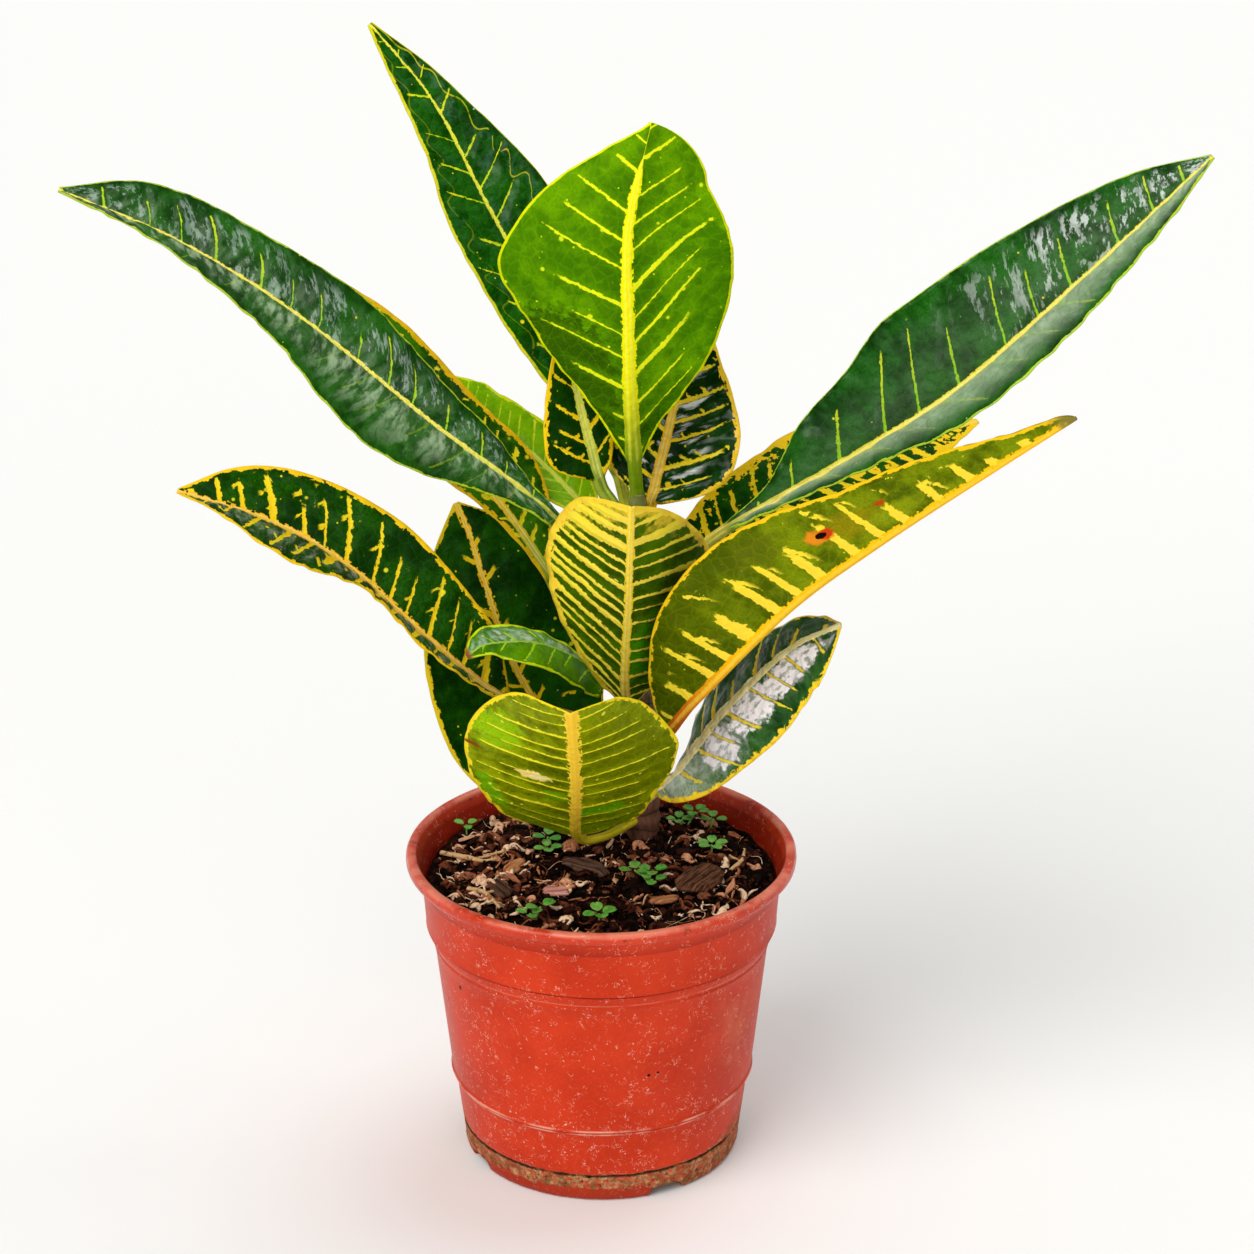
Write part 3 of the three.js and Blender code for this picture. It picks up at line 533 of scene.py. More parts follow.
def potProfile():
    height, rim, collar, lipInner = pot["height"], pot["rimRadius"], pot["collar"], pot["lipInner"]
    shoulder, top, ridge = pot["shoulderBottom"], pot["collarBottom"], pot["ridge"]
    groove, floor, wall = pot["groove"], pot["floor"], pot["wall"]
    lipBottom = height - pot["lip"]
    inner = collar + pot["flare"] - wall
    profile = [(0, 0), (15, 0), (30, 0), (pot["baseRadius"], 0)]
    profile += [(45.1, 0.12), (45.7, 0.45), (46.2, 1.1), (pot["footRadius"], 2.4)]
    profile += [(wallRadius(z), z) for z in np.arange(3.4, groove - 0.7, 0.9)]
    for deep, step in ((0.1, -0.5), (0.55, 0), (0.1, 0.5)):
        profile.append((wallRadius(groove) - deep, groove + step))
    profile += [(wallRadius(z), z) for z in np.arange(groove + 1.5, ridge - 2, 2.0)]
    for bead in (ridge - 0.75, ridge + 0.75):  # the moulded ridge is two fine beads
        for step, proud in ((-0.62, 0.05), (-0.3, 0.42), (0, 0.55), (0.3, 0.42), (0.62, 0.0)):
            profile.append((wallRadius(bead) + proud, bead + step))
    profile += [(wallRadius(z), z) for z in np.arange(ridge + 2.5, shoulder - 1.5, 3.0)]
    for step, proud in ((-0.7, 0), (-0.35, 0.3), (0, 0.36), (0.3, 0.12)):
        profile.append((wallRadius(shoulder) + proud, shoulder + step))
    profile += [(mix(wallRadius(shoulder), collar, f), mix(shoulder, top, f)) for f in (0.35, 0.7)]
    for proud, step in ((-0.5, -0.6), (-0.65, -0.25), (0.05, 0.1), (0.12, 0.35), (0, 0.8)):
        profile.append((collar + proud, top + step))
    for f in (0.2, 0.4, 0.6, 0.75, 0.85, 0.93, 1):  # the collar flares below the lip
        profile.append((collar + 1.4 * f + 1.6 * f ** 6, mix(top + 0.7, lipBottom - 1, f)))
    profile += [(collar + 3.6, lipBottom - 0.3), (rim - 1.4, lipBottom), (rim - 0.6, lipBottom + 0.25)]
    profile += [(rim - 0.1, lipBottom + 0.9), (rim, lipBottom + 1.8), (rim - 0.1, lipBottom + 2.8)]
    profile += [(rim - 0.5, lipBottom + 3.6), (rim - 1.2, height), (lipInner + 1, height)]
    profile += [(lipInner + 0.3, height - 0.3), (lipInner, height - 1), (inner + 1.2, lipBottom - 3)]
    profile += [(inner + f, mix(top, lipBottom - 3, f)) for f in (0.8, 0.5, 0.2)]
    profile += [(inner, top)]
    profile += [(wallRadius(z) - wall, z) for z in (shoulder, 50, 25, floor + 2)]
    return profile + [(wallRadius(floor + 2) - wall - 1.6, floor), (20, floor), (0, floor)]


def buildPot():
    profile = potProfile()
    sides = pot["sides"]
    turns = np.linspace(0, 2 * math.pi, sides, endpoint=False)
    lipBottom = pot["height"] - pot["lip"]
    points = [(0, 0, 0)]
    for r, z in profile[1:-1]:
        for turn in turns:
            around = Vector((math.cos(turn) * 2.2, math.sin(turn) * 2.2, z * 0.02))
            grit = Vector((math.cos(turn) * 26, math.sin(turn) * 26, z * 0.5))
            dent = 0.25 * noise.noise(around) if r > 50 else 0
            chip = 0.5 * max(0, noise.noise(grit) - 0.05) if 0 < z < 11 and r > 45 else 0
            nick = 0.35 * max(0, noise.noise(grit * 0.5) - 0.25) if z > lipBottom + 0.5 else 0
            reach = min(r + dent, pot["rimRadius"]) - chip - nick
            points.append((reach * math.cos(turn), reach * math.sin(turn), z))
    points.append((0, 0, pot["floor"]))
    faces = turnedFaces(len(profile) - 2, sides)
    piece = addMesh("pot_shell", np.array(points) * mm, faces, [potFinish()])
    for k in range(pot["slots"]):
        cutSlot(piece, math.radians(pot["slotTurn"] + k * 360 / pot["slots"]), k)
    settle(piece, "pot_plastic", "pot")


# A water slot at the foot, with corners a little worn.
def cutSlot(piece, turn, seed):
    draw = random.Random(seed)
    half = pot["slotWidth"] / 2
    outline = [(-half - 0.5, -1), (-half + 0.2, 1.4), (-half + 1.2, 3.1), (-half + 3, pot["slotHeight"])]
    outline += [(half - 3, pot["slotHeight"]), (half - 1.2, 3.1), (half - 0.2, 1.4), (half + 0.5, -1)]
    points = []
    for reach in (-pot["slotReach"], pot["slotReach"]):
        for across, up in outline:
            wear = draw.uniform(-0.25, 0.1) if up > 0 else 0
            points.append((pot["footRadius"] + reach, across + wear, up + wear))
    count = len(outline)
    faces = [tuple(range(count))[::-1], tuple(range(count, 2 * count))]
    faces += [(k, (k + 1) % count, count + (k + 1) % count, count + k) for k in range(count)]
    cutter = addMesh("cutter", np.array(points) * mm, faces, [])
    cutter.data.transform(Matrix.Rotation(turn, 4, "Z"))
    bm = bmesh.new()
    bm.from_mesh(cutter.data)
    bmesh.ops.recalc_face_normals(bm, faces=bm.faces)
    bm.to_mesh(cutter.data)
    bm.free()
    cut = piece.modifiers.new("slot", "BOOLEAN")
    cut.object = cutter
    cut.operation = "DIFFERENCE"
    cut.solver = "EXACT"
    graph = bpy.context.evaluated_depsgraph_get()
    carved = bpy.data.meshes.new_from_object(piece.evaluated_get(graph))
    piece.modifiers.clear()
    piece.data = carved
    bpy.data.objects.remove(cutter)


buildPot()
print("pot made")

# Soil: the same rolling bed as its solid, with crumbs, hollows, roots and splinters on it.
soil = dict(
    edgeLevel=98.8, mound=2.6, gap=0.3, sectors=420, rings=120, peat="#070302", brown="#2e170e",
    grain="#6d4331", fibre="#7c4c36",
)
soilRadius = pot["collar"] + pot["flare"] - pot["wall"] - soil["gap"]
stem = dict(
    route=[(14, 27, 64), (14, 27, 101), (14, 24, 130), (13, 20, 170), (12, 16, 206), (12, 14, 229)],
    radii=[5.6, 5.8, 5.0, 4.4, 3.8, 2.6], sides=48, rings=240, bark="#4a3524", pale="#8d7657",
    moss="#6f6a45", foot="#6b3322", young="#7d8c35", scar="#2e1f14",
)


def soilHeight(x, y):
    reach = math.hypot(x, y) / soilRadius
    swell = 0.55 * math.sin(0.31 * x + 1.3) * math.cos(0.27 * y + 0.4)
    clods = 0.4 * math.sin(0.43 * x + 0.29 * y) * math.cos(0.39 * y - 0.2 * x + 2)
    return soil["edgeLevel"] + soil["mound"] * (1 - reach ** 2) + swell + clods


def soilLumps(x, y):
    return noise.fractal(Vector((x, y, 0)) * 0.16, 0.8, 2.1, 5)


def soilTop(x, y):
    grit = noise.ridged_multi_fractal(Vector((x, y, 0)) * 0.5, 0.7, 2.2, 4, 0.9, 2.0)
    edge = 1 - ease((math.hypot(x, y) - soilRadius + 5) / 5)
    return soilHeight(x, y) + edge * (1.6 * soilLumps(x, y) + 0.6 * (grit - 1.3))


def soilFinish():
    bench = Bench("pottingSoil", soil["peat"])
    tone = bench.tone()
    place = bench.place()
    clumps = bench.noise(place, 130, 5, 1, 0.6)
    grains = bench.noise(place, 900, 4, 3, 0.7)
    bench.cover(bench.fade(clumps + tone * 0.12, 0.4, 0.68), soil["brown"])
    bench.cover(bench.fade(grains + tone * 0.06, 0.57, 0.68) * 0.7, soil["grain"])
    bench.cover(bench.cloudy(0.62, 0.72, place, 75, 3, 5) * 0.45, soil["fibre"])
    bench.cover(bench.fade(grains, 0.48, 0.38) * 0.85, "#050302")
    # painted shade: the bed's low hollows go near black
    bench.cover(bench.fade(tone, -0.05, -0.5) * 0.8, "#060302")
    wet = bench.cloudy(0.55, 0.68, place, 240, 3, 8)
    values = {"Roughness": 0.92 - wet * 0.5, "Specular IOR Level": 0.03}
    return bench.surface(values, (grains + clumps, 0.9, 0.0006))


# Loose matter: tone runs from wet black (0) through brown to tan (1).
def debrisFinish(name, colors, shine):
    bench = Bench(name)
    grain = bench.noise(bench.place(), 700, 4, 2, 0.65)
    stops = [(k / (len(colors) - 1), paint(color)) for k, color in enumerate(colors)]
    mottled = bench.tone() + (grain - 0.5) * 0.45
    bench.base = bench.node("ShaderNodeValToRGB", {"stops": stops}, {0: mottled})
    bench.cover(bench.fade(grain, 0.47, 0.34) * 0.75, "#0c0604")
    values = {"Roughness": shine + grain * 0.2, "Specular IOR Level": 0.04}
    return bench.surface(values, (grain, 0.7, 0.0004))


def buildSoil():
    turns = np.linspace(0, 2 * math.pi, soil["sectors"], endpoint=False)
    shoulder = pot["shoulderBottom"]
    floor = pot["floor"] + soil["gap"]
    inset = pot["wall"] + soil["gap"]
    low = wallRadius(floor + 2) - inset
    points = [(0, 0, soilTop(0, 0))]
    for i in range(1, soil["rings"] + 1):
        places = ringPlaces(soilRadius * i / soil["rings"], turns)
        points += [(x, y, soilTop(x, y)) for x, y in places]
    below = [(soilRadius, pot["collarBottom"]), (wallRadius(shoulder) - inset, shoulder)]
    below += [(low - 0.3, floor + 2), (low - 2, floor)]
    for r, z in below:
        points += [(x, y, z) for x, y in ringPlaces(r, turns)]
    points.append((0, 0, floor))
    faces = flipped(turnedFaces(soil["rings"] + len(below), soil["sectors"]))
    piece = addMesh("soil_bed", np.array(points) * mm, faces, [soilFinish()])
    addTone(piece, [soilLumps(x, y) for x, y, _ in points])
    settle(piece, "soil", "soil")


# Loose matter on the soil: how many of each, and its colours from wet black to dry and pale.
debris = dict(
    crumbs=dict(count=800, shine=0.6, colors=("#030101", "#140805", "#36170d", "#804a32", "#dba07a")),
    # the curls' palest colour also serves their painted highlights
    curls=dict(count=620, shine=0.55, colors=("#080302", "#30140c", "#7a3f28", "#cf8c66", "#ffdcb8")),
    fibres=dict(count=120, shine=0.6, colors=("#22100a", "#6a3a24", "#b0744c", "#e8b080", "#fff0d4")),
    splinters=dict(count=260, shine=0.55, colors=("#060302", "#2c120b", "#6a3424", "#c47c54", "#ffcfa8")),
)
debrisSeed = 11


# A place on the soil that keeps clear of the wall and of the stem.
def soilSpot(draw, margin):
    stemX, stemY, _ = stem["route"][0]
    while True:
        x, y = draw.uniform(-56, 56), draw.uniform(-56, 56)
        clearOfStem = math.hypot(x - stemX, y - stemY) > 6.2 + margin
        if math.hypot(x, y) < soilRadius - margin and clearOfStem:
            return x, y


def lump(draw, size, squash):
    made = bmesh.new()
    bmesh.ops.create_icosphere(made, subdivisions=2, radius=1)
    shift = Vector((draw.uniform(0, 99), draw.uniform(0, 99), draw.uniform(0, 99)))
    spin = tilted(draw.uniform(0, 6.28), 0, draw.uniform(-0.5, 0.5))
    points = []
    for corner in made.verts:
        reach = 1 + 0.45 * noise.noise(corner.co * 1.3 + shift) + 0.25 * noise.noise(corner.co * 3 + shift)
        p = Vector((corner.co.x * 1.25, corner.co.y * 0.9, corner.co.z * squash)) * reach * size
        points.append(spin @ p)
    faces = [tuple(v.index for v in face.verts) for face in made.faces]
    made.free()
    return points, faces


def addCrumb(heap, draw):  # a lump of bark or peat
    size = 0.45 + 1.9 * draw.random() ** 3
    x, y = soilSpot(draw, size * 1.6)
    points, faces = lump(draw, size, draw.uniform(0.45, 0.8))
    z = soilTop(x, y) + size * 0.1
    heap.add([(p.x + x, p.y + y, p.z + z) for p in points], faces, 0.75 * draw.random() ** 1.8)


# A winding path over the soil, or nothing where it would meet the wall.
def wander(draw, start, strides, bend, above):
    x, y = start
    heading = draw.uniform(0, 6.28)
    turning = draw.uniform(-bend, bend)
    points = []
    for step in strides:
        if math.hypot(x, y) > soilRadius - 1.5:
            return []
        points.append((x, y, soilTop(x, y) + draw.uniform(*above)))
        heading += turning + draw.uniform(-0.5, 0.5)
        x, y = x + step * math.cos(heading), y + step * math.sin(heading)
    return points


def addCurl(heap, draw):  # a curled strip of peat or bark, flat and twisted; paler at the left
    start = soilSpot(draw, 2.5)
    strides = [draw.uniform(0.9, 2.2) for _ in range(draw.randint(4, 7))]
    points = wander(draw, start, strides, 0.9, (0.1, 1.7))
    if not points:
        return
    wide = 0.22 + 1.5 * draw.random() ** 2.6
    spin = draw.uniform(0, 6.28)
    twist = draw.uniform(-2.5, 2.5)

    def radius(t, turns):
        taper = 0.3 + 0.7 * math.sin(math.pi * min(1, t * 0.9 + 0.08))
        return taper * (0.16 + wide * np.abs(np.cos(turns - spin - twist * t)) ** 1.5)

    corners, faces = tube(points, radius, 8, 7 * len(points) // 2)
    tone = draw.random() ** 1.7 * 0.8 + (0.2 if start[0] < -22 else 0)
    # a few curls take the palest tone as painted highlights
    tone = 0.95 if draw.random() < 0.08 else tone
    heap.add(corners, faces, min(tone, 1))


def addFibre(heap, draw):  # a hair root
    strides = [draw.uniform(1.2, 3.2) for _ in range(draw.randint(4, 8))]
    points = wander(draw, soilSpot(draw, 2), strides, 0.4, (0.2, 1.4))
    thick = 0.12 + 0.3 * draw.random() ** 2.5

    def radius(t, turns):
        return thick * (1 - 0.75 * t) + 0 * turns

    if points:
        corners, faces = tube(points, radius, 6, 4 * len(points))
        heap.add(corners, faces, draw.uniform(0.2, 1))


def addSplinter(heap, draw):  # an angular flake of bark, lying at any slope
    length = 1.6 + 6.5 * draw.random() ** 2.2
    width = length * draw.uniform(0.3, 0.75)
    thick = 0.25 + 0.09 * length
    x, y = soilSpot(draw, length * 0.6)
    count = draw.randint(4, 6)
    spin = tilted(draw.uniform(0, 6.28), draw.uniform(-0.6, 0.6), draw.uniform(-0.5, 0.5))
    seat = Vector((x, y, soilTop(x, y) + 0.2 + 0.12 * length))
    angles = sorted((k + draw.uniform(-0.35, 0.35)) * 2 * math.pi / count for k in range(count))
    outline = [(0.5 * length * math.cos(a), 0.5 * width * math.sin(a)) for a in angles]
    points = []
    for share, z in ((1, -thick / 2), (1, thick * 0.2), (0.72, thick / 2)):
        points += [spin @ Vector((px * share, py * share, z)) + seat for px, py in outline]
    faces = [tuple(range(count))[::-1], tuple(range(2 * count, 3 * count))]
    for layer in (0, count):
        for k in range(count):
            a, b = layer + k, layer + (k + 1) % count
            faces.append((a, b, b + count, a + count))
    heap.add(points, faces, draw.random() ** 1.7)


def buildDebris():
    draw = random.Random(debrisSeed)
    for kind, add in zip(debris, (addCrumb, addCurl, addFibre, addSplinter)):
        settings = debris[kind]
        heap = Heap()
        for _ in range(settings["count"]):
            add(heap, draw)
        finish = debrisFinish("soil" + kind.capitalize(), settings["colors"], settings["shine"])
        settle(heap.piece("soil_" + kind, finish, kind != "splinters"), "soil")


buildSoil()
buildDebris()
print("soil made")


# The stem: grey-brown bark with ring scars where old leaves sat, greener to the top.
def stemFinish():
    bench = Bench("stemBark", stem["bark"])
    place = bench.place()
    z = bench.parts(place)[2] / mm
    streaks = bench.noise(bench.stretch(place, (1, 1, 0.2)), 900, 4, 2)
    patches = bench.noise(place, 160, 3, 4)
    bench.cover(bench.fade(streaks, 0.35, 0.65), stem["pale"])
    bench.cover(bench.fade(patches, 0.5, 0.7) * 0.5, stem["moss"])
    bench.cover(bench.fade(z, 128, 112) * 0.7, stem["foot"])
    young = bench.fade(z, 150, 215)
    bench.cover(young * 0.75, stem["young"])
    rings = bench.sine(z * 0.9 + patches * 5)
    bench.cover(bench.fade(rings, 0.86, 0.97) * 0.7, stem["scar"])
    return bench.surface({"Roughness": 0.72 - young * 0.2}, (streaks, 0.7, 0.0005))


stemRoute = Route(stem["route"])


def stemAt(z):
    t = np.linspace(0, 1, 4001)
    return stemRoute.at(t)[np.argmin(np.abs(stemRoute.at(t)[:, 2] - z))]


def buildStem(joints):
    def radius(t, turns):
        level = stemRoute.at(np.array([t]))[0][2]
        rough = np.array([bumpAt(3 * math.cos(a), 3 * math.sin(a), level * 0.25) for a in turns])
        scar = sum(math.exp(-((level - joint) / 1.6) ** 2) for joint in joints)
        ring = 0.12 * math.sin(level * 0.9)
        return curveValue(stem["radii"], np.array([t]))[0] + 0.28 * rough + 0.35 * min(scar, 1) + ring - 0.2

    corners, faces = tube(stem["route"], radius, stem["sides"], stem["rings"])
    piece = addMesh("stem_wood", np.array(corners) * mm, faces, [stemFinish()])
    settle(piece, "stem_bark", "stem")


# Leaves. Shape, as in the solid: joint is the height on the stem; rib is the midrib's route after it;
# stalk is the share of the length that is stalk; wideLeft and wideRight are half widths at equal
# steps; blunt is the share that rounds off to the tip; face is the way the upper side looks; left
# and right are how far each half turns up. A pair in a look is for the left and the right half, or
# for the two ends of a width. A place in patches (below the veins), marks (above them) and shines (above
# them, on the side that shows) is share of the length, share of the half width, both half sizes, colour,
# softness.
leafShape = dict(
    stalkHalfWidth=2.2, stalkHalfDepth=1.5, thick=0.6, edgeThick=0.34, midrib=1.1, wave=(0, 0, 0),
    blunt=0, rows=170, stalkRows=26, columns=41, quilt=0.5, frill=0.35, channel=0.3, cord=0.12,
    veinHigh=0.18,
)
# In a look, haze, glint and shines are painted sheen and highlights, and patches are mostly painted
# backlight and shade.
leafLook = dict(
    seen="top", foot="#0b3604", footShare=0, patches=(), rib="#ffcc1c", ribFoot="#9fae2a",
    ribWidth=(1.3, 0.5), ribRagged=0.3, ribEnd=0, ribCore="#fbf08c", lean=0.6, bend=0.006, fan=0,
    bold=(1, 1), reach=(0.5, 0.95), veins=(1, 1), ragged=0.5, fork=0, edgeRagged=0.6, dots=0.2,
    dotSize=0.22, dotColor="#f6e62a", specks=0.25, speckColor="#b9d6b0", blotch=0, net=0.3, crackle=0,
    loop=0, smooth=0, haze=(0, 0), hazeColor="#a6c198", glint=(0, 0), glintFrom=0, glintOut=1,
    glintColor="#dfe8dc", crinkle=0.6, shine=0.36, gloss=0.16, coat=0.12, tipGold=0, tipBurn=None,
    marks=(), shines=(), underVeil="#8fae4e", backVeil="#1c5210",
)
leaves = dict(
    leaf_1=dict(
        joint=176, rib=[(-15, 6, 223), (-54, -4, 260), (-94, -10, 297), (-130, -10, 321), (-167, -8, 337)],
        stalk=0.2, face=((0, -0.75, 1), (0, -1.2, 1)), wideLeft=(2, 6, 12, 20, 24.5, 22, 16, 13, 8, 4, 1),
        left=(10, 0, 48, 40), wideRight=(2, 4, 9.5, 12, 15.5, 17.5, 16.5, 15.5, 15, 11.5, 1),
        right=(15, 0), wave=(0.7, 3, 0.1), quilt=1.2,
        look=dict(
            dark="#0a3803", light="#22610c", rib="#fff05a", ribWidth=(0.9, 0.4), gap=13,
            veinWidth=(0.34, 0.14), vein="#a6d22a", veins=(0.25, 1), edgeWidth=(0.5, 0.35),
            lean=(0.45, 0.3), bend=(0.012, 0.03), edge="#b4c826", haze=(0.8, 0.2), glint=(0, 0.55),
            hazeColor="#b4cda4", crinkle=1.3, glintColor="#bdd2c4", dots=0.25, dotSize=0.12, specks=0.6,
            shine=0.28, coat=0.45, ribFoot="#c6cf4a",
        ),
    ),
    leaf_2=dict(
        joint=145,
        rib=[(-9, 23, 180), (-20, 22, 202), (-34, 28, 221), (-53, 34, 243), (-74, 40, 270),
             (-101, 48, 295)], stalk=0.3, face=((0.3, -0.9, 1), (0, -0.9, 1)),
        wideLeft=(2, 3, 5, 8, 12, 14, 12, 10, 8, 5, 1), left=(15, 5),
        wideRight=(2, 8, 16, 19, 17.5, 16, 14.5, 13, 10.5, 7, 1), right=(15, 5),
        look=dict(
            dark="#123c02", light="#3d7606", gap=8, veinWidth=(0.8, 0.5), edge="#e6b814", vein="#e6d01a",
            edgeWidth=(1.2, 1.4), dots=0.8, dotSize=0.3, ribFoot="#a8b53c", ribWidth=(1.6, 0.6), ragged=1,
            fork=0.5,
        ),
    ),
    leaf_3=dict(
        joint=200, rib=[(-3, 34, 213), (-18, 50, 224), (-35, 66, 234), (-50, 84, 244)], stalk=0.2,
        face=((0.3, -0.9, 1), (0.2, -0.9, 1)), wideLeft=(2, 5, 8, 10, 11, 11.5, 11, 10, 8, 6, 1),
        left=(15, 5), wideRight=(2, 5, 8, 10, 11, 11.5, 11, 10, 8, 6, 1), right=(15, 5),
        look=dict(
            dark="#689c00", light="#86b800", rib="#c9dc3a", vein="#b8d42c", gap=6, veinWidth=(0.3, 0.2),
            edge="#d6dc12", edgeWidth=(0.9, 0.9), dots=0.05, lean=0.9, specks=0.1, net=0.5,
        ),
    ),
    leaf_4=dict(
        joint=205, rib=[(2, 50, 234), (-21, 70, 276), (-39, 84, 307), (-56, 96, 337), (-77, 105, 361)],
        stalk=0.15, face=((0.3, -1, 0.4), (0.3, -1, 0.4)),
        wideLeft=(2, 7, 11, 14, 16, 17, 16, 13, 11, 7, 1), left=(20, 8),
        wideRight=(2, 8, 14, 18, 21, 22, 20, 15, 9, 5, 1), right=(20, 8), wave=(0.8, 4, 0.3), quilt=1.0,
        look=dict(
            dark="#073801", light="#1d6204", rib="#ecec1e", ribFoot="#d6d43c", ribWidth=(0.95, 0.45),
            gap=13.5, veinWidth=(0.32, 0.22), vein="#d0e41a", edge="#dcd61c", edgeWidth=(0.9, 0.22),
            edgeRagged=0.3, dots=0.8, dotSize=0.2, lean=(0.75, 0.65), specks=0.5, bend=(0.004, 0.012),
            net=0.6, loop=0.6, crackle=0.5, reach=(0.5, 0.85), glint=(0.2, 0.5), glintColor="#3f7d5e",
            shine=0.3, coat=0.4,
        ),
    ),
    leaf_5=dict(
        joint=225, rib=[(10, 6, 257), (9, -2, 290), (9, -4, 323), (16, 8, 354)], stalk=0.12,
        face=((0, 1, 0.1), (0, 1, 0.3)), wideLeft=(2, 8, 17, 25, 30, 33.5, 34.5, 33.5, 31, 23, 20),
        left=(10, 15), wideRight=(2, 8, 15, 24, 31, 37, 41.5, 35.5, 25.5, 13, 2), right=(10, 15),
        wave=(1.2, 2, 0.2), blunt=0.1,
        look=dict(
            seen="below", dark="#407600", light="#689f00", foot="#2c5600", footShare=0.34, rib="#f4ee08",
            ribFoot="#8aa41c", ribWidth=(2.7, 1.3), ribRagged=0.55, ribEnd=0.93, ribCore="#fdfa50",
            vein="#eaf01a", gap=10.4, veinWidth=(0.5, 0.3), reach=(0.5, 0.85), edge="#e2ea0a",
            edgeWidth=(0.9, 0.9), edgeRagged=0.2, dots=0.95, dotSize=0.25, dotColor="#dff01e",
            lean=(1.0, 0.5), bend=(0.004, -0.002), specks=0, net=0.25, shine=0.5, coat=0,
            # patches: painted shade beside the midrib, a painted shadow at the lower left and painted shade
            # at the foot
            patches=((0.55, 0, 0.6, 0.28, "#386a00", 0.75), (0.3, 0.7, 0.17, 0.5, "#2c5000", 0.16),
                     (0.04, 0, 0.1, 1.6, "#284e00", 0.3)),
        ),
    ),
    leaf_6=dict(
        joint=183, rib=[(36, 14, 212), (85, 8, 246), (116, 6, 269), (158, 8, 309), (192, 12, 342)],
        stalk=0.18, face=((0, -0.75, 1), (0, -1.2, 1)),
        wideLeft=(2, 6, 18, 24, 31, 31.5, 29.5, 25.5, 20.5, 13, 1), left=(28, 20),
        wideRight=(2, 8, 12, 17, 21, 22, 21, 18, 13.5, 8.5, 1), right=(48, 38), wave=(0.5, 4, 0.6),
        quilt=1.4,
        look=dict(
            dark="#083502", light="#1b6409", rib="#ffee4a", ribCore="#fff9b4", ribWidth=(1.5, 0.6), gap=16,
            veinWidth=(0.42, 0.2), vein="#9ed02e", edge="#b6d22c", edgeWidth=(0.3, 0.7), dots=0.4,
            dotSize=0.12, haze=(0.12, 1.2), hazeColor="#bcd6ae", glint=(0.85, 0.1), glintFrom=0.45,
            smooth=0.8, specks=0.7, lean=(0.42, 0.7), veins=(1, 0.35), reach=(0.5, 0.85), net=0.45,
            crackle=0.4, crinkle=1.7, glintColor="#e6eee8", shine=0.26, coat=0.5, ribFoot="#e6d45a",
        ),
    ),
    leaf_7=dict(
        joint=135,
        rib=[(21, 2, 147), (32, -14, 168), (60, -28, 205), (87, -38, 231), (119, -48, 258),
             (145, -55, 279)], stalk=0.14, face=((-0.3, 0.6, 1), (-0.2, 0.3, 1)),
        wideLeft=(2, 12, 20, 26, 28, 26, 22, 18, 13, 7, 3), left=(72, 60),
        wideRight=(4, 18, 28, 32, 32, 28.5, 23, 19.5, 14.5, 7.5, 3), right=(62, 52), blunt=0.04,
        look=dict(
            seen="below", dark="#4a5c00", light="#7b8e04", foot="#3c4a00", footShare=0.5, rib="#fcc010",
            ribFoot="#c24a14", ribWidth=(2.6, 1.7), ribRagged=0.7, ribCore="#ffd84a", vein="#fbd93a",
            gap=11.5, veinWidth=(1.55, 0.45), bold=(1.15, 1.15), reach=(0.4, 0.85), ragged=0.8, fork=0.9,
            edge="#f6c818", edgeWidth=(0.9, 1.1), dots=0.35, lean=-0.25, bend=0.002,
            shine=0.45, coat=0.05, specks=0, tipBurn="#857a30",
            patches=((0.42, 0.7, 0.05, 0.17, "#5c680a", 0.5), (0.3, 0.8, 0.08, 0.14, "#4c5c02", 0.5),
                     (0.58, 0.48, 0.05, 0.2, "#8f8408", 0.6), (0.66, 0.3, 0.05, 0.16, "#8a9a0c", 0.5)),
            marks=((0.518, 0.5, 0.019, 0.1, "#e58a1c", 0.3), (0.535, 0.5, 0.014, 0.075, "#c8420c", 0.25),
                   (0.526, 0.5, 0.01, 0.04, "#160301", 0.08), (0.645, 0.56, 0.01, 0.04, "#b8440a", 0.25)),
        ),
    ),
    leaf_8=dict(
        joint=112, rib=[(26, 10, 133), (42, 0, 160), (61, -8, 183), (77, -16, 195)], stalk=0.1,
        face=((0, -0.6, 1), (0, -0.8, 1)), wideLeft=(3, 17, 20, 18, 16.5, 16.5, 17, 17, 15, 10.5, 1),
        left=(-25, -35), wideRight=(2, 9.5, 14, 17, 19, 20, 20, 19, 17, 14, 1), right=(-10, -20),
        wave=(0.8, 2.5, 0), quilt=1.2,
        look=dict(
            dark="#0e3a0a", light="#2e6422", foot="#93aa86", footShare=0.4, rib="#fffbc4",
            ribFoot="#fffbc4", ribWidth=(2.3, 1.0), ribCore="#ffd262", gap=10.5, veinWidth=(0.95, 0.45),
            bold=(1.2, 0.6), vein="#ffd83a", veins=(1, 0.9), edge="#ffd62a", edgeWidth=(1.1, 1.4),
            edgeRagged=0.8, haze=(0.35, 0.3), hazeColor="#8fa394", glint=(0.25, 0.45),
            glintOut=0.75, glintColor="#fbf4f5", crinkle=0.2, lean=(0.1, 0.5), ragged=0.7, shine=0.3,
            coat=0.5,
            # patches: painted grey sheen; shines: painted white highlights between the veins
            patches=((0.36, 0.42, 0.12, 0.42, "#8c9a90", 0.3), (0.14, 0.4, 0.12, 0.6, "#a9b9a2", 0.4)),
            shines=((0.76, 0.34, 0.15, 0.27, "#fff8fb", 0.12), (0.56, 0.34, 0.12, 0.3, "#fff8fb", 0.12),
                    (0.36, 0.44, 0.08, 0.34, "#f1ebed", 0.15), (0.14, 0.3, 0.08, 0.2, "#c3cfbd", 0.4)),
        ),
    ),
    leaf_9=dict(
        joint=138,
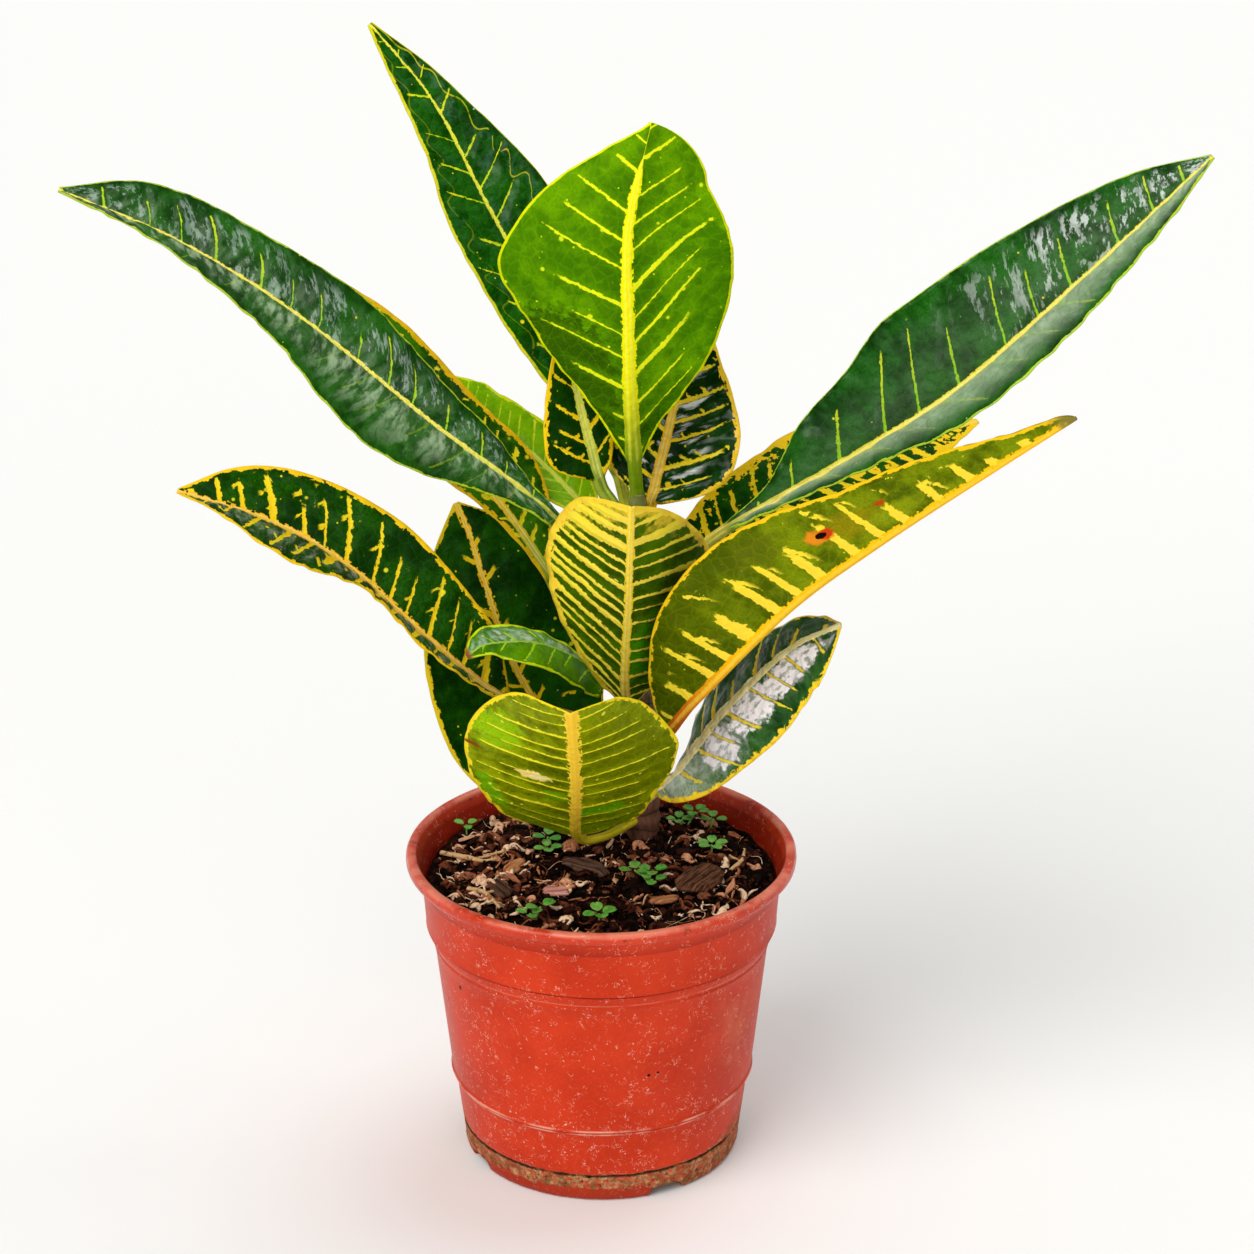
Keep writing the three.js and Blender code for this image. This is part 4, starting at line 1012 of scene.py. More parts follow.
        rib=[(-14, 8, 153), (-33, 2, 162), (-55, -8, 186), (-80, -16, 215), (-104, -20, 232),
             (-133, -22, 243)], stalk=0.28, face=((0, -0.75, 1), (0, -0.9, 1)),
        wideLeft=(2, 4, 6, 7, 5, 5, 11, 17, 15, 6, 1), left=(38, 32),
        wideRight=(2, 15, 18.5, 20.5, 21.5, 22, 21, 19.5, 17, 11.5, 1), right=(20, 20), quilt=0.9,
        look=dict(
            dark="#0a3001", light="#1d5603", rib="#fdc22c", ribWidth=(1.5, 0.9), gap=9.4, ribRagged=0.7,
            veinWidth=(0.85, 0.5), vein="#fcd71e", ragged=0.75, edge="#fccd1a",
            edgeWidth=(1.0, 1.3), edgeRagged=0.75, dots=0.95, dotSize=0.26, haze=(0.75, 0),
            hazeColor="#93a580", lean=0.45, fork=0.7, specks=0.3, net=0.5, crackle=0.8, coat=0.1,
            glint=(0.2, 0), ribFoot="#e8b84a",
        ),
    ),
    leaf_10=dict(
        joint=121, rib=[(-14, 24, 140), (-29, 26, 163), (-39, 30, 192), (-43, 33, 205), (-48, 36, 217)],
        stalk=0.14, face=((0.3, -1, 0.5), (0.3, -1, 0.5)),
        wideLeft=(3, 21, 32, 34, 32.5, 30, 27, 23, 18, 12, 1), left=(5, 0),
        wideRight=(3, 18, 25, 27, 27, 26, 24, 22, 18, 12, 1), right=(5, 0),
        look=dict(
            dark="#072c01", light="#1c5604", rib="#fcc21c", ribWidth=(1.3, 1.1), gap=15, ribRagged=0.6,
            veinWidth=(0.8, 0.5), vein="#f4cc18", reach=(0.1, 0.45), ragged=0.8, edge="#e8c81a",
            edgeWidth=(1.3, 1.0), edgeRagged=0.8, dots=0.9, dotSize=0.24, lean=0.7, specks=0.4, fork=0.3,
            crackle=0.4, coat=0.06, ribFoot="#f4c02a",
        ),
    ),
    leaf_12=dict(
        joint=155,
        rib=[(3, 15, 161), (-7, 9, 172), (-17, 2, 180), (-26, -4, 184), (-37, -9, 185), (-43, -12, 182)],
        stalk=0.25, face=((0, -0.5, 1), (0, -0.5, 1)), wideLeft=(9, 12, 14, 15, 15, 13.5, 12, 10, 7, 4, 1),
        left=(0, 0), wideRight=(2, 2, 3, 4.5, 5.5, 6.5, 7, 7.5, 8, 6, 1), right=(0, 0),
        look=dict(
            dark="#366c00", light="#5c9200", foot="#2c5f02", footShare=0.4, rib="#93b83a",
            ribWidth=(0.45, 0.35), ribCore="#b8cf70", gap=9, veinWidth=(0.3, 0.15), vein="#9ccc1c",
            edge="#c8dc14", edgeWidth=(0.9, 0.8), dots=0.8, dotColor="#d8e81c", haze=(0, 1),
            hazeColor="#9fb9a0", glint=(0, 0.5), crinkle=0.4, lean=0.8, tipBurn="#8a4a2c", specks=0.2,
        ),
    ),
    leaf_13=dict(
        joint=146, rib=[(8, 2, 164), (9, -18, 204), (10, -34, 242)], stalk=0.15,
        face=((0, 1, 1), (0, 1, 1)), wideLeft=(2, 14, 20, 26, 31, 33.5, 34, 30, 23.5, 14, 1),
        left=(20, 30, 40, 55), wideRight=(2, 10, 16, 22, 28, 31.5, 34, 33, 29, 21, 1),
        right=(20, 30, 40, 55),
        look=dict(
            seen="below", dark="#2c4200", light="#4a7000", foot="#2e5a00", footShare=0.4, rib="#fbd42a",
            ribFoot="#c8a53a", ribWidth=(1.4, 1.3), ribRagged=0.5, vein="#fde04a", gap=6.2,
            veinWidth=(0.5, 0.9), reach=(0.95, 1.1), ragged=0.7, edge="#ffd83a", edgeWidth=(2.4, 3.0),
            edgeRagged=0.4, dots=0.15, lean=(-0.25, 1.2), fan=(0, 0.017), bend=(0, 0.001), bold=(0.9, 1.1),
            shine=0.45, coat=0.04, tipGold=0.7, specks=0, net=0.15,
            # patch: painted backlight glowing through the lower part of the blade
            patches=((0.3, -0.5, 0.16, 0.5, "#3f9a02", 0.25),),
            marks=((0.015, 0, 0.012, 0.5, "#7a3a14", 0.2),),
        ),
    ),
    leaf_14=dict(
        joint=107, rib=[(0, 10, 107), (-8, 0, 113), (-8, -32, 148), (-9, -62, 184)], stalk=0.3,
        face=((0, 1, 1.2), (0, 1, 1.2)), wideLeft=(10, 21.5, 25, 29, 33.5, 35.5, 33, 29.5, 25, 17, 1),
        left=(0, 10, 26, 50), wideRight=(6, 22, 29, 34, 37, 38.5, 37.5, 34, 28.5, 20, 1),
        right=(0, 10, 26, 50),
        look=dict(
            seen="below", dark="#586400", light="#8f9e00", foot="#6a8200", footShare=0.3, rib="#ffd83a",
            ribFoot="#e0c82a", ribWidth=(1.8, 2.4), ribRagged=1.0, ribCore="#ffbe3c", vein="#f2e628",
            gap=8.0, veinWidth=(0.42, 0.2), reach=(0.6, 0.95), ragged=0.45, edge="#f6dc20",
            edgeWidth=(1.1, 1.3), edgeRagged=0.9, dots=0.95, dotSize=0.24, dotColor="#f2ee40",
            lean=(0.45, 0.75), fan=(0.01, 0.017), bend=0, shine=0.45, coat=0.06, specks=0,
            # patches: four spots of painted backlight, then painted shade over two broad areas
            patches=((0.21, -0.36, 0.05, 0.3, "#56ac02", 0.12), (0.32, 0.2, 0.03, 0.14, "#5fa804", 0.2),
                     (0.63, 0.74, 0.1, 0.24, "#93c404", 0.25), (0.27, 0.86, 0.1, 0.1, "#6ab008", 0.3),
                     (0.55, -0.55, 0.3, 0.42, "#626e00", 0.6), (0.5, 0.2, 0.12, 0.2, "#4f5c00", 0.6)),
            marks=((0.44, 0.37, 0.028, 0.15, "#ffe27a", 0.15), (0.44, 0.33, 0.014, 0.08, "#fff3b0", 0.2),
                   (0.5, 0.92, 0.007, 0.11, "#8a3c12", 0.3)),
        ),
    ),
    leaf_15=dict(
        joint=209,
        rib=[(4, 18, 223), (0, 20, 229), (-3, 22, 241), (-7, 26, 256), (-9, 30, 272), (-8, 36, 289)],
        stalk=0.3, face=((0.3, -1, 0.4), (0.3, -1, 0.4)), wideLeft=(2, 13, 16, 15, 13, 11, 9, 7, 5, 3, 1),
        left=(10, 5), wideRight=(2, 6, 8, 9, 9, 8, 7, 6, 4, 3, 1), right=(10, 5),
        look=dict(
            dark="#082e00", light="#164402", rib="#dde04a", ribFoot="#a3b83a", ribWidth=(1.9, 0.9),
            vein="#fdd014", gap=8.4, veinWidth=(0.5, 0.4), reach=(0.6, 0.95), ragged=0.8, edge="#fdd014",
            edgeWidth=(1.2, 1.0), edgeRagged=0.8, dots=0.9, dotSize=0.26, lean=0.75, fork=0.5, coat=0.05,
        ),
    ),
    leaf_16=dict(
        joint=213, rib=[(16, 20, 222), (19, 24, 233), (23, 30, 248), (27, 38, 266), (31, 48, 283)],
        stalk=0.15, face=((-0.3, -1, 0.4), (-0.3, -1, 0.4)),
        wideLeft=(3, 14, 19, 20, 19, 17, 14, 11, 7, 4, 1), left=(10, 5),
        wideRight=(3, 18, 24, 25.5, 25, 22, 18.5, 14, 10, 5, 1), right=(10, 5), quilt=1.9,
        look=dict(
            dark="#052401", light="#12420c", rib="#fdc42a", ribFoot="#fdc42a", ribWidth=(2.0, 1.1),
            vein="#fbda2a", gap=7.4, veinWidth=(0.62, 0.4), reach=(0.7, 0.98), ragged=0.75, edge="#fdcf2a",
            edgeWidth=(1.3, 1.6), edgeRagged=0.9, dots=0.35, lean=0.4, glint=(0.9, 0.95), glintOut=0.7,
            crinkle=0.25, glintColor="#f6faf6", fork=0.6, shine=0.24, coat=0.6, gloss=0.1,
        ),
    ),
    leaf_17=dict(
        joint=171, rib=[(29, 28, 198), (56, 42, 216), (87, 60, 223), (128, 85, 228)], stalk=0.15,
        face=((0, -0.5, 1), (0, -0.5, 1)), wideLeft=(2, 10, 14, 16, 17, 20, 20, 17, 12, 7, 1),
        left=(10, 5), wideRight=(2, 10, 14, 16, 17, 20, 20, 17, 12, 7, 1), right=(10, 5),
        look=dict(
            dark="#083401", light="#1c5a02", rib="#fdc81a", ribWidth=(2.0, 1.0), vein="#fdd21a", gap=7,
            veinWidth=(0.95, 0.8), ragged=0.9, edge="#fdd01a", edgeWidth=(2.6, 2.6), edgeRagged=0.8,
            dots=0.6, dotSize=0.3, lean=0.4, blotch=0.2, coat=0.04,
        ),
    ),
)


class Leaf:
    def __init__(self, name, settings):
        self.name = name
        self.form = {**leafShape, **settings}
        self.look = {**leafLook, **settings["look"], "seed": int(name.split("_")[1])}
        self.route = Route([stemAt(settings["joint"]), *settings["rib"]])
        self.faces = [unit(np.array(f, float)) for f in settings["face"]]

    def share(self, t):
        return np.clip((t - self.form["stalk"]) / (1 - self.form["stalk"]), 0, 1)

    def halfWidth(self, t, v):
        s = self.share(t)
        least = self.form["stalkHalfWidth"] * (1 - ease((s - 0.3) / 0.5))
        left = curveValue(self.form["wideLeft"], s)
        right = curveValue(self.form["wideRight"], s)
        wide = np.where(v < 0, left, right)
        if self.form["blunt"]:
            wide = wide * np.sqrt(1 - np.clip((s - 1) / self.form["blunt"] + 1, 0, 1) ** 2)
        wide = np.maximum(np.maximum(wide, 0.8), least)
        return np.where(s <= 0, self.form["stalkHalfWidth"], wide)

    def angle(self, v, s, pick):
        sides = []
        for angles in (self.form["left"], self.form["right"]):
            tip = angles[2 + pick] if len(angles) > 2 else angles[pick]
            sides.append(mix(math.radians(angles[pick]), math.radians(tip), ease(s)))
        return np.where(v < 0, sides[0], sides[1])

    # The middle surface: t runs from the stem to the tip, v from the left edge to the right.
    def surface(self, t, v):
        s = self.share(t)
        u = np.abs(v)
        forward = self.route.along(t)
        face = mix(self.faces[0], self.faces[1], ease(t)[..., None])
        right = unit(np.cross(forward, face))
        up = np.cross(right, forward)
        start = self.angle(v, s, 0)
        turn = self.angle(v, s, 1) - start
        turn = np.where(np.abs(turn) < 1e-4, 1e-4, turn)
        wide = self.halfWidth(t, v)
        out = (np.sin(start + turn * u) - np.sin(start)) / turn
        rise = (np.cos(start) - np.cos(start + turn * u)) / turn
        height, count, phase = self.form["wave"]
        shift = np.where(v < 0, 0, 0.37)
        ripple = height * np.sin(2 * math.pi * (count * s + phase + shift)) * np.sin(math.pi * s) * u ** 2
        across = np.where(v < 0, -1, 1) * wide * out
        return self.route.at(t) + right * across[..., None] + up * (wide * rise + ripple)[..., None]


# Where the side veins lie: whole numbers of this value, in the mesh and in the finish alike.
def veinPhase(look, x, away, right, pick, sine):
    spread = x * (away * pick(look["fan"]) + 1)
    along = spread - away * pick(look["lean"]) - away * away * pick(look["bend"])
    along = along / look["gap"] + look["seed"] * 0.37 + right * 0.45
    return along + sine(along * 1.9) * 0.14


# The blade as its painter sees it: place on it, veins and their random lots, as wires to mix with.
class Blade:
    def __init__(self, name, look):
        self.look = look
        self.bench = bench = Bench(name, look["dark"])
        self.flat = bench.uv("millimetres")
        self.s, self.v, _ = bench.parts(bench.uv("place"))
        self.x, self.y, _ = bench.parts(self.flat)
        self.across = abs(self.v)
        self.away = abs(self.y)
        self.rightHalf = self.y > 0
        self.seed = look["seed"] * 3.1
        self.broad = bench.noise(self.flat, 0.05, 3, self.seed)
        self.patchy = bench.noise(self.flat, 0.22, 4, self.seed + 1)
        self.rough = bench.noise(self.flat, 0.42, 3, self.seed + 2) - 0.5
        self.jagged = bench.noise(self.flat, 1.3, 2, self.seed + 3) - 0.5
        self.freckles = bench.noise(self.flat, 2.4, 3, self.seed + 5)
        shake = bench.join(self.rough * 2.6, self.jagged * 1.4)
        self.warped = bench.node("ShaderNodeVectorMath", {"operation": "ADD"}, {0: self.flat, 1: shake})
        self.teeth = self.lots(1.15)
        self.blocks = self.lots(2.8)
        self.cells = self.net(4.2)
        self.grain = self.net(1.25)
        # the side veins: number of the nearest one, and the way to it square to the vein
        ragged = self.x + self.rough * look["ragged"] * 2
        self.shifted = veinPhase(look, ragged, self.away, self.rightHalf, self.side, bench.sine)
        self.line = (self.shifted + 0.5).math("FLOOR")
        leans = look["lean"] if isinstance(look["lean"], tuple) else (look["lean"], look["lean"])
        square = self.side(tuple(look["gap"] / math.hypot(1, lean) for lean in leans))
        self.signed = (self.shifted - self.line) * square
        self.off = abs(self.signed)
        self.luck = self.chance(self.line, self.seed)

    def net(self, cell):
        settings = {"voronoi_dimensions": "2D", "feature": "DISTANCE_TO_EDGE"}
        return self.bench.node("ShaderNodeTexVoronoi", settings, {"Vector": self.warped, "Scale": 1 / cell})

    def lots(self, cell):  # one random value a cell, from -0.5 to 0.5: it tears edges into angular teeth
        values = {"Vector": self.warped, "Scale": 1 / cell}
        cells = self.bench.node("ShaderNodeTexVoronoi", {"voronoi_dimensions": "2D"}, values, "Color")
        return self.bench.parts(cells)[0] - 0.5

    def chance(self, line, seed):  # three random values for each vein
        key = {0: self.bench.join(line, self.rightHalf * 9 + seed)}
        values = self.bench.node("ShaderNodeTexWhiteNoise", {"noise_dimensions": "2D"}, key, "Color")
        return self.bench.parts(values)

    def side(self, pair):  # one value on the left half, another on the right
        if not isinstance(pair, tuple):
            return pair
        return pair[0] + self.rightHalf * (pair[1] - pair[0]) if pair[0] != pair[1] else pair[0]

    def spot(self, s, v, length, width, soft):  # an oval patch with a ragged rim
        reach = self.bench.length(self.bench.join((self.s - s) / length, (self.v - v) / width))
        return self.bench.fade(reach + self.rough * 1.3 + self.blocks * 0.15, 1 + soft, 1 - soft)

    def green(self, front):
        bench, look = self.bench, self.look
        bench.cover(bench.fade(self.broad + (self.patchy - 0.5) * 0.6, 0.36, 0.64), look["light"])
        if look["footShare"]:
            low = bench.fade(self.s + self.rough * 0.1, look["footShare"], look["footShare"] * 0.2)
            bench.cover(low * 0.85, look["foot"])
        for *place, color, soft in look["patches"]:  # sun behind the blade, shade or gloss
            bench.cover(self.spot(*place, soft) * (0.9 if front else 0.1), color)
        halo = bench.fade(self.off, 2.8, 0.2) * bench.fade(self.across, 1, 0.4)
        bench.cover(halo * 0.4, look["light"])
        meshes = bench.fade(self.cells, 0.12, 0.02) * look["net"]
        bench.base = bench.blend(meshes, bench.base, paint(look["vein"]), "SOFT_LIGHT")
        bench.cover(bench.fade(self.cells, 0.1, 0.01) * look["net"] * 0.5, look["light"])
        if look["crackle"]:
            bench.cover(bench.fade(self.net(2.2), 0.1, 0.02) * look["crackle"] * 0.7, look["dark"])
        bench.cover(bench.fade(self.grain, 0.12, 0.4) * 0.3, look["dark"])
        bench.cover(bench.fade(self.freckles, 0.52, 0.72) * 0.35, look["light"])
        if look["blotch"]:
            level = 0.66 - look["blotch"] * 0.3
            torn = self.patchy + self.rough * 0.5 + self.teeth * 0.12 + self.blocks * 0.1
            bench.cover(bench.fade(torn, level, level + 0.02), look["vein"])

    def paintSheen(self, strength):  # painted sheen and highlights: a pale reflection of the sky and white painted glints between the side veins
        bench, look = self.bench, self.look
        along = self.shifted
        place = bench.join(along * 2.2 + self.across * 1.6, self.across * 1.2)
        streak = bench.noise(place, 1.6, 4, self.seed + 7, 0.6)
        if max(look["haze"]):
            pale = self.side(look["haze"]) * bench.fade(self.across, 1.0, 0.2)
            streaks = 0.07 + bench.fade(streak, 0.44, 0.62) * 0.8
            bench.cover(pale * mix(streaks, 0.6, look["smooth"]) * strength, look["hazeColor"])
        if max(look["glint"]):
            patch = bench.noise(bench.join(along * 1.3, self.across * 1.5), 1.6, 2, self.seed + 8)
            crinkle = bench.noise(bench.join(along * 6, self.across * 4), 1.4, 4, self.seed + 9, 0.7)
            white = bench.fade(patch + (crinkle - 0.5) * look["crinkle"], 0.53, 0.66)
            white = white * bench.fade(self.off, 0.5, look["gap"] * 0.16) * self.side(look["glint"])
            white = white * bench.fade(self.across, look["glintOut"] * 0.96, look["glintOut"] * 0.7)
            if look["glintFrom"]:
                white = white * bench.fade(self.s, look["glintFrom"], look["glintFrom"] + 0.3)
            white = white * (0.55 + bench.fade(streak, 0.4, 0.6) * 0.45)
            bench.cover((white * strength * 0.9).math("MINIMUM", 1), look["glintColor"])

    def sideVeins(self):
        bench, look = self.bench, self.look
        wide, narrow = look["veinWidth"]
        width = (wide + self.across * (narrow - wide)) * (0.6 + self.luck[0] * 0.8)
        width = width * self.side(look["bold"])
        beads = bench.cloudy(0.55, 0.7, bench.join(self.across * 9, self.line * 5), 1.0, 2, 3)
        if look["tipGold"]:
            width = width * (1 + bench.fade(self.s, 0.45, 0.95) * look["tipGold"] * 0.8)
        width = width + self.teeth * (look["ragged"] * 0.6) + self.rough * (look["ragged"] * 0.8)
        width = width + beads * (0.2 + 0.15 * look["ragged"]) * bench.fade(self.across, 0.1, 0.35)
        veins = bench.fade(self.off, width + 0.13, width - 0.13)
        nearest, furthest = look["reach"]
        reach = nearest + self.luck[1] * (furthest - nearest) + self.blocks * 0.12 + self.rough * 0.1
        veins = veins * bench.fade(self.across, reach + 0.02, reach - 0.05) * self.side(look["veins"])
        if look["fork"]:
            veins = bench.math("MAXIMUM", veins, self.forks())
            veins = bench.math("MAXIMUM", veins, self.flecks())
        return veins

    def forks(self):  # branches that leave a side vein on a second slant
        bench, look = self.bench, self.look
        pace = look["gap"] * 0.8
        slant = (self.x + self.away * 0.7 + self.rough * 3) / pace + 0.3
        line = (slant + 0.5).math("FLOOR")
        luck = self.chance(line, self.seed + 40)
        width = look["veinWidth"][0] * 0.3 + luck[0] * 0.5 + self.teeth * look["ragged"] * 0.7
        near = abs(slant - line) * (pace / 1.22)
        kept = bench.fade(near, width + 0.13, width - 0.13) * (luck[1] < look["fork"])
        far = look["gap"] * (0.28 + 0.12 * look["fork"])
        kept = kept * bench.fade(self.signed, far, look["gap"] * 0.22)
        reach = 0.45 + luck[2] * 0.45 + self.blocks * 0.2
        kept = kept * (self.signed > 0) * (self.across > 0.18)
        return kept * bench.fade(self.across, reach + 0.02, reach - 0.03)

    def flecks(self):  # angular loose flecks in the outer part, where side veins end
        bench, look = self.bench, self.look
        level = 0.84 - look["fork"] * 0.1
        torn = bench.fade(self.patchy + self.teeth * 0.22 + self.blocks * 0.12, level, level + 0.02)
        return torn * bench.fade(self.across, 0.35, 0.75) * min(1, look["fork"] * 1.5)

    def edge(self):
        bench, look = self.bench, self.look
        halfWidth = self.away / bench.math("MAXIMUM", self.across, 0.05)
        ragged = self.blocks * 1.2 + self.teeth * 0.7 + (self.patchy - 0.5) * 2
        width = self.side(look["edgeWidth"]) * (1 + ragged * look["edgeRagged"])
        border = bench.fade(halfWidth * (1 - self.across), width + 0.14, width - 0.14)
        if look["loop"]:  # a scalloped line joins the side veins inside the margin
            scallops = bench.math("COSINE", self.shifted * (2 * math.pi) - 0.8)
            arch = 0.72 - scallops * 0.12 + self.rough * 0.06
            joined = bench.fade(abs(self.across - arch) * halfWidth, 0.36, 0.12)
            joined = joined * (0.3 + self.rightHalf * 0.7) * look["loop"]
            joined = joined * bench.fade(self.patchy, 0.36, 0.46)
            border = bench.math("MAXIMUM", border, joined)
        return border

    def midrib(self):  # paints the rib and its foot, and gives the rib's mask
        bench, look = self.bench, self.look
        foot, tip = look["ribWidth"]
        ragged = self.rough * 0.9 + self.teeth * 1.5 * bench.fade(self.s, 0, 0.3)
        half = foot + self.s * (tip - foot) + ragged * look["ribRagged"]
        if look["ribEnd"]:
            half = half * bench.fade(self.s, look["ribEnd"], look["ribEnd"] - 0.12)
        rib = bench.fade(self.away, half + 0.12, half - 0.18)
        color = bench.blend(bench.fade(self.s, 0.3, 0.0), paint(look["rib"]), paint(look["ribFoot"]))
        # two paler lines along the rib: a painted highlight where ribCore is pale, the rib's own orange
        # line where it is orange
        core = bench.fade(abs(self.away - half * 0.35), half * 0.3, half * 0.1)
        bench.cover(rib, bench.blend(core * 0.5, color, paint(look["ribCore"])))
        bench.cover(bench.fade(self.s, 0.02, 0.0) * 0.9, look["ribFoot"])
        grooves = bench.cloudy(0.42, 0.6, bench.join(self.x * 0.05, self.y * 2.2), 1.0, 3, self.seed + 11)
        bench.cover(bench.fade(self.s, 0.08, 0.0) * grooves * 0.55, look["light"])
        return rib

    def sky(self, veins, rib):  # the sky in the gloss, creased, and torn apart along the veins
        bench = self.bench
        creased = bench.stretch(self.flat, (0.5, 1.1, 1))
        creases = bench.cloudy(0.4, 0.5, creased, 0.55, 4, self.seed + 12, 0.6)
        kept = (0.35 + creases * 0.65) * (1 - veins * 0.8) * (1 - rib)
        kept = kept * bench.fade(self.off, 0.3, 1.1)
        for *place, color, soft in self.look["shines"]:
            bench.cover(self.spot(*place, soft) * kept, color)


def leafFinish(name, look, below):
    blade = Blade(name, look)
    bench = blade.bench
    front = (look["seen"] == "below") == below  # the side that the photograph shows
    onBlade = bench.fade(blade.s, 0.004, 0.03)
    blade.green(front)
    blade.paintSheen(1 if front else 0.25)
    if look["tipGold"]:
        gilt = bench.fade(blade.s + blade.across * 0.22 + blade.blocks * 0.1 + blade.rough * 0.3, 0.9, 1.06)
        bench.cover(gilt * look["tipGold"], look["edge"])
    veins = blade.sideVeins()
    outward = bench.fade(blade.across, 0.1, 0.8) * 0.5
    bench.cover(veins * onBlade, bench.blend(outward, paint(look["vein"]), paint(look["dotColor"])))
    spots = bench.dots(blade.flat, 4.2, look["dots"], look["dotSize"], blade.seed)
    spots = spots + bench.dots(blade.flat, 2.1, look["dots"] * 0.7, look["dotSize"] * 0.9, blade.seed + 9)
    bench.cover(spots * onBlade * 0.9, look["dotColor"])
    if look["specks"]:
        flecks = bench.dots(blade.flat, 2.9, look["specks"], 0.13, blade.seed + 15)
        bench.cover(flecks * onBlade * 0.7, look["speckColor"])
    bench.cover(blade.edge() * onBlade, look["edge"])
    rib = blade.midrib()
    for *place, color, soft in look["marks"]:
        bench.cover(blade.spot(*place, soft), color)
    if look["shines"] and front:
        blade.sky(veins, rib)
    if look["tipBurn"]:
        bench.cover(bench.fade(blade.s + blade.rough * 0.05, 0.95, 0.99), look["tipBurn"])
    shine = look["shine"] + blade.freckles * 0.14 + veins * 0.08
    coat = bench.fade(blade.patchy + blade.rough * 0.3, 0.3, 0.7) * look["coat"]
    if not front and below:  # an underside is paler and dull
        bench.cover(0.35, look["underVeil"])
        shine = shine + 0.2
        coat = 0.0
    elif not front:
        bench.cover(0.4, look["backVeil"])
    relief = bench.fade(blade.cells, 0.0, 0.35) + blade.grain * 0.5 + blade.freckles * 0.3 - spots * 0.1
    values = {"Roughness": shine, "Coat Weight": coat, "Coat Roughness": look["gloss"],
              "Specular IOR Level": 0.02}
    return bench.surface(values, (relief, 0.3 + look["coat"] * 0.6, 0.0005))


def buildLeaf(leaf):
    form, look = leaf.form, leaf.look
    stalk = np.linspace(0, form["stalk"], form["stalkRows"], endpoint=False)
    steps = np.linspace(0, 1, form["rows"])
    if form["blunt"]:  # closer rows where the tip rounds off
        steps = mix(steps, 1 - (1 - steps) ** 2, 0.8)
    t = np.concatenate([stalk, mix(form["stalk"], 1, steps)])
    spread = np.linspace(-1, 1, form["columns"])
    v = np.sign(spread) * np.abs(spread) ** 1.15
    v = v + 0 * t[:, None]
    t = t[:, None] + 0 * v
    s = (t - form["stalk"]) / (1 - form["stalk"])
    step = 0.004
    ahead = leaf.surface(np.minimum(t + step, 1), v) - leaf.surface(np.maximum(t - step, 0), v)
    over = leaf.surface(t, np.minimum(v + 0.05, 1)) - leaf.surface(t, np.maximum(v - 0.05, -1))
    normal = unit(np.cross(over, ahead))
    middle = leaf.surface(t, v)
    across = np.abs(v)
    # millimetres on the blade: along it from its foot, and out from the midrib
    x = s * (1 - form["stalk"]) * leaf.route.length
    y = leaf.halfWidth(t, v) * v
    blend = ease((s + 0.02) / 0.12)

    def pick(pair):
        return np.where(y > 0, pair[1], pair[0]) if isinstance(pair, tuple) else pair

    fold = veinPhase(look, x, np.abs(y), y > 0, pick, np.sin)
    off = np.abs(fold - np.floor(fold + 0.5)) * look["gap"]
    swell = 1 - np.exp(-(off / (0.16 * look["gap"])) ** 1.5)
    body = ease(across / 0.16) * (1 - ease((across - 0.72) / 0.28)) * blend * (1 - ease((s - 0.85) / 0.15))
    draw = random.Random(look["seed"])
    shift = Vector((draw.uniform(0, 50), draw.uniform(0, 50), 0))
    places = zip(x.ravel(), y.ravel())
    crinkle = np.array([noise.noise(Vector((a * 0.11, b * 0.13, 0)) + shift) for a, b in places])
    crinkle = crinkle.reshape(x.shape)
    lift = form["quilt"] * (swell - 0.6) * body * (0.7 + 0.8 * crinkle) + 0.5 * crinkle * body
    frill = form["frill"] * np.sin(x * 0.55 + 3 * crinkle) * across ** 4 * blend
    frill = frill * (1 - ease((s - 0.9) / 0.1))
    channel = form["channel"] * np.exp(-(y / 1.7) ** 2) * blend * (1 - ease((s - 0.7) / 0.3))
    cord = form["cord"] * np.exp(-(y / 0.6) ** 2) * blend * (1 - 0.6 * np.clip(s, 0, 1))
    roundStalk = form["stalkHalfDepth"] * np.sqrt(1 - 0.94 * v ** 2)
    half = mix(roundStalk, mix(form["thick"], form["edgeThick"], across ** 2) / 2, blend)
    ribHigh = form["midrib"] * np.exp(-(y / 1.5) ** 2) * blend * (1 - 0.8 * np.clip(s, 0, 1))
    veinHigh = form["veinHigh"] * np.exp(-(off / 0.8) ** 2) * body
    middle = middle + normal * (lift + frill)[..., None]
    top = middle + normal * (half - channel + cord)[..., None]
    bottom = middle - normal * (half + ribHigh + veinHigh)[..., None]
    points = np.concatenate([top.reshape(-1, 3), bottom.reshape(-1, 3)]) * mm
    upper, under, rim = sheetFaces(*t.shape)
    finishes = [leafFinish(leaf.name + "_upper", look, False), leafFinish(leaf.name + "_under", look, True)]
    piece = addMesh(leaf.name + "_blade", points, upper + under + rim, finishes)
    slots = [0] * len(upper) + [1] * (len(under) + len(rim))
    piece.data.polygons.foreach_set("material_index", slots)
    place = np.stack([s.ravel(), v.ravel()], 1)
    size = np.stack([x.ravel(), y.ravel()], 1)
    # the sheet for baking: upper side in the lower half of the square, under side above it
    flat = np.stack([t.ravel() * 0.98 + 0.01, 0.25 + v.ravel() * 0.235], 1)
    addUv(piece, "OFBake", np.concatenate([flat, flat + (0, 0.5)]))
    addUv(piece, "place", np.concatenate([place, place]))
    addUv(piece, "millimetres", np.concatenate([size, size]))
    return piece


slotNames = {part["node"]: part["material_slot"] for part in frame["record"]["subparts"]}
for name, settings in leaves.items():
    settle(buildLeaf(Leaf(name, settings)), slotNames[name], name)
buildStem([settings["joint"] for settings in leaves.values()])
print("stem and leaves made")

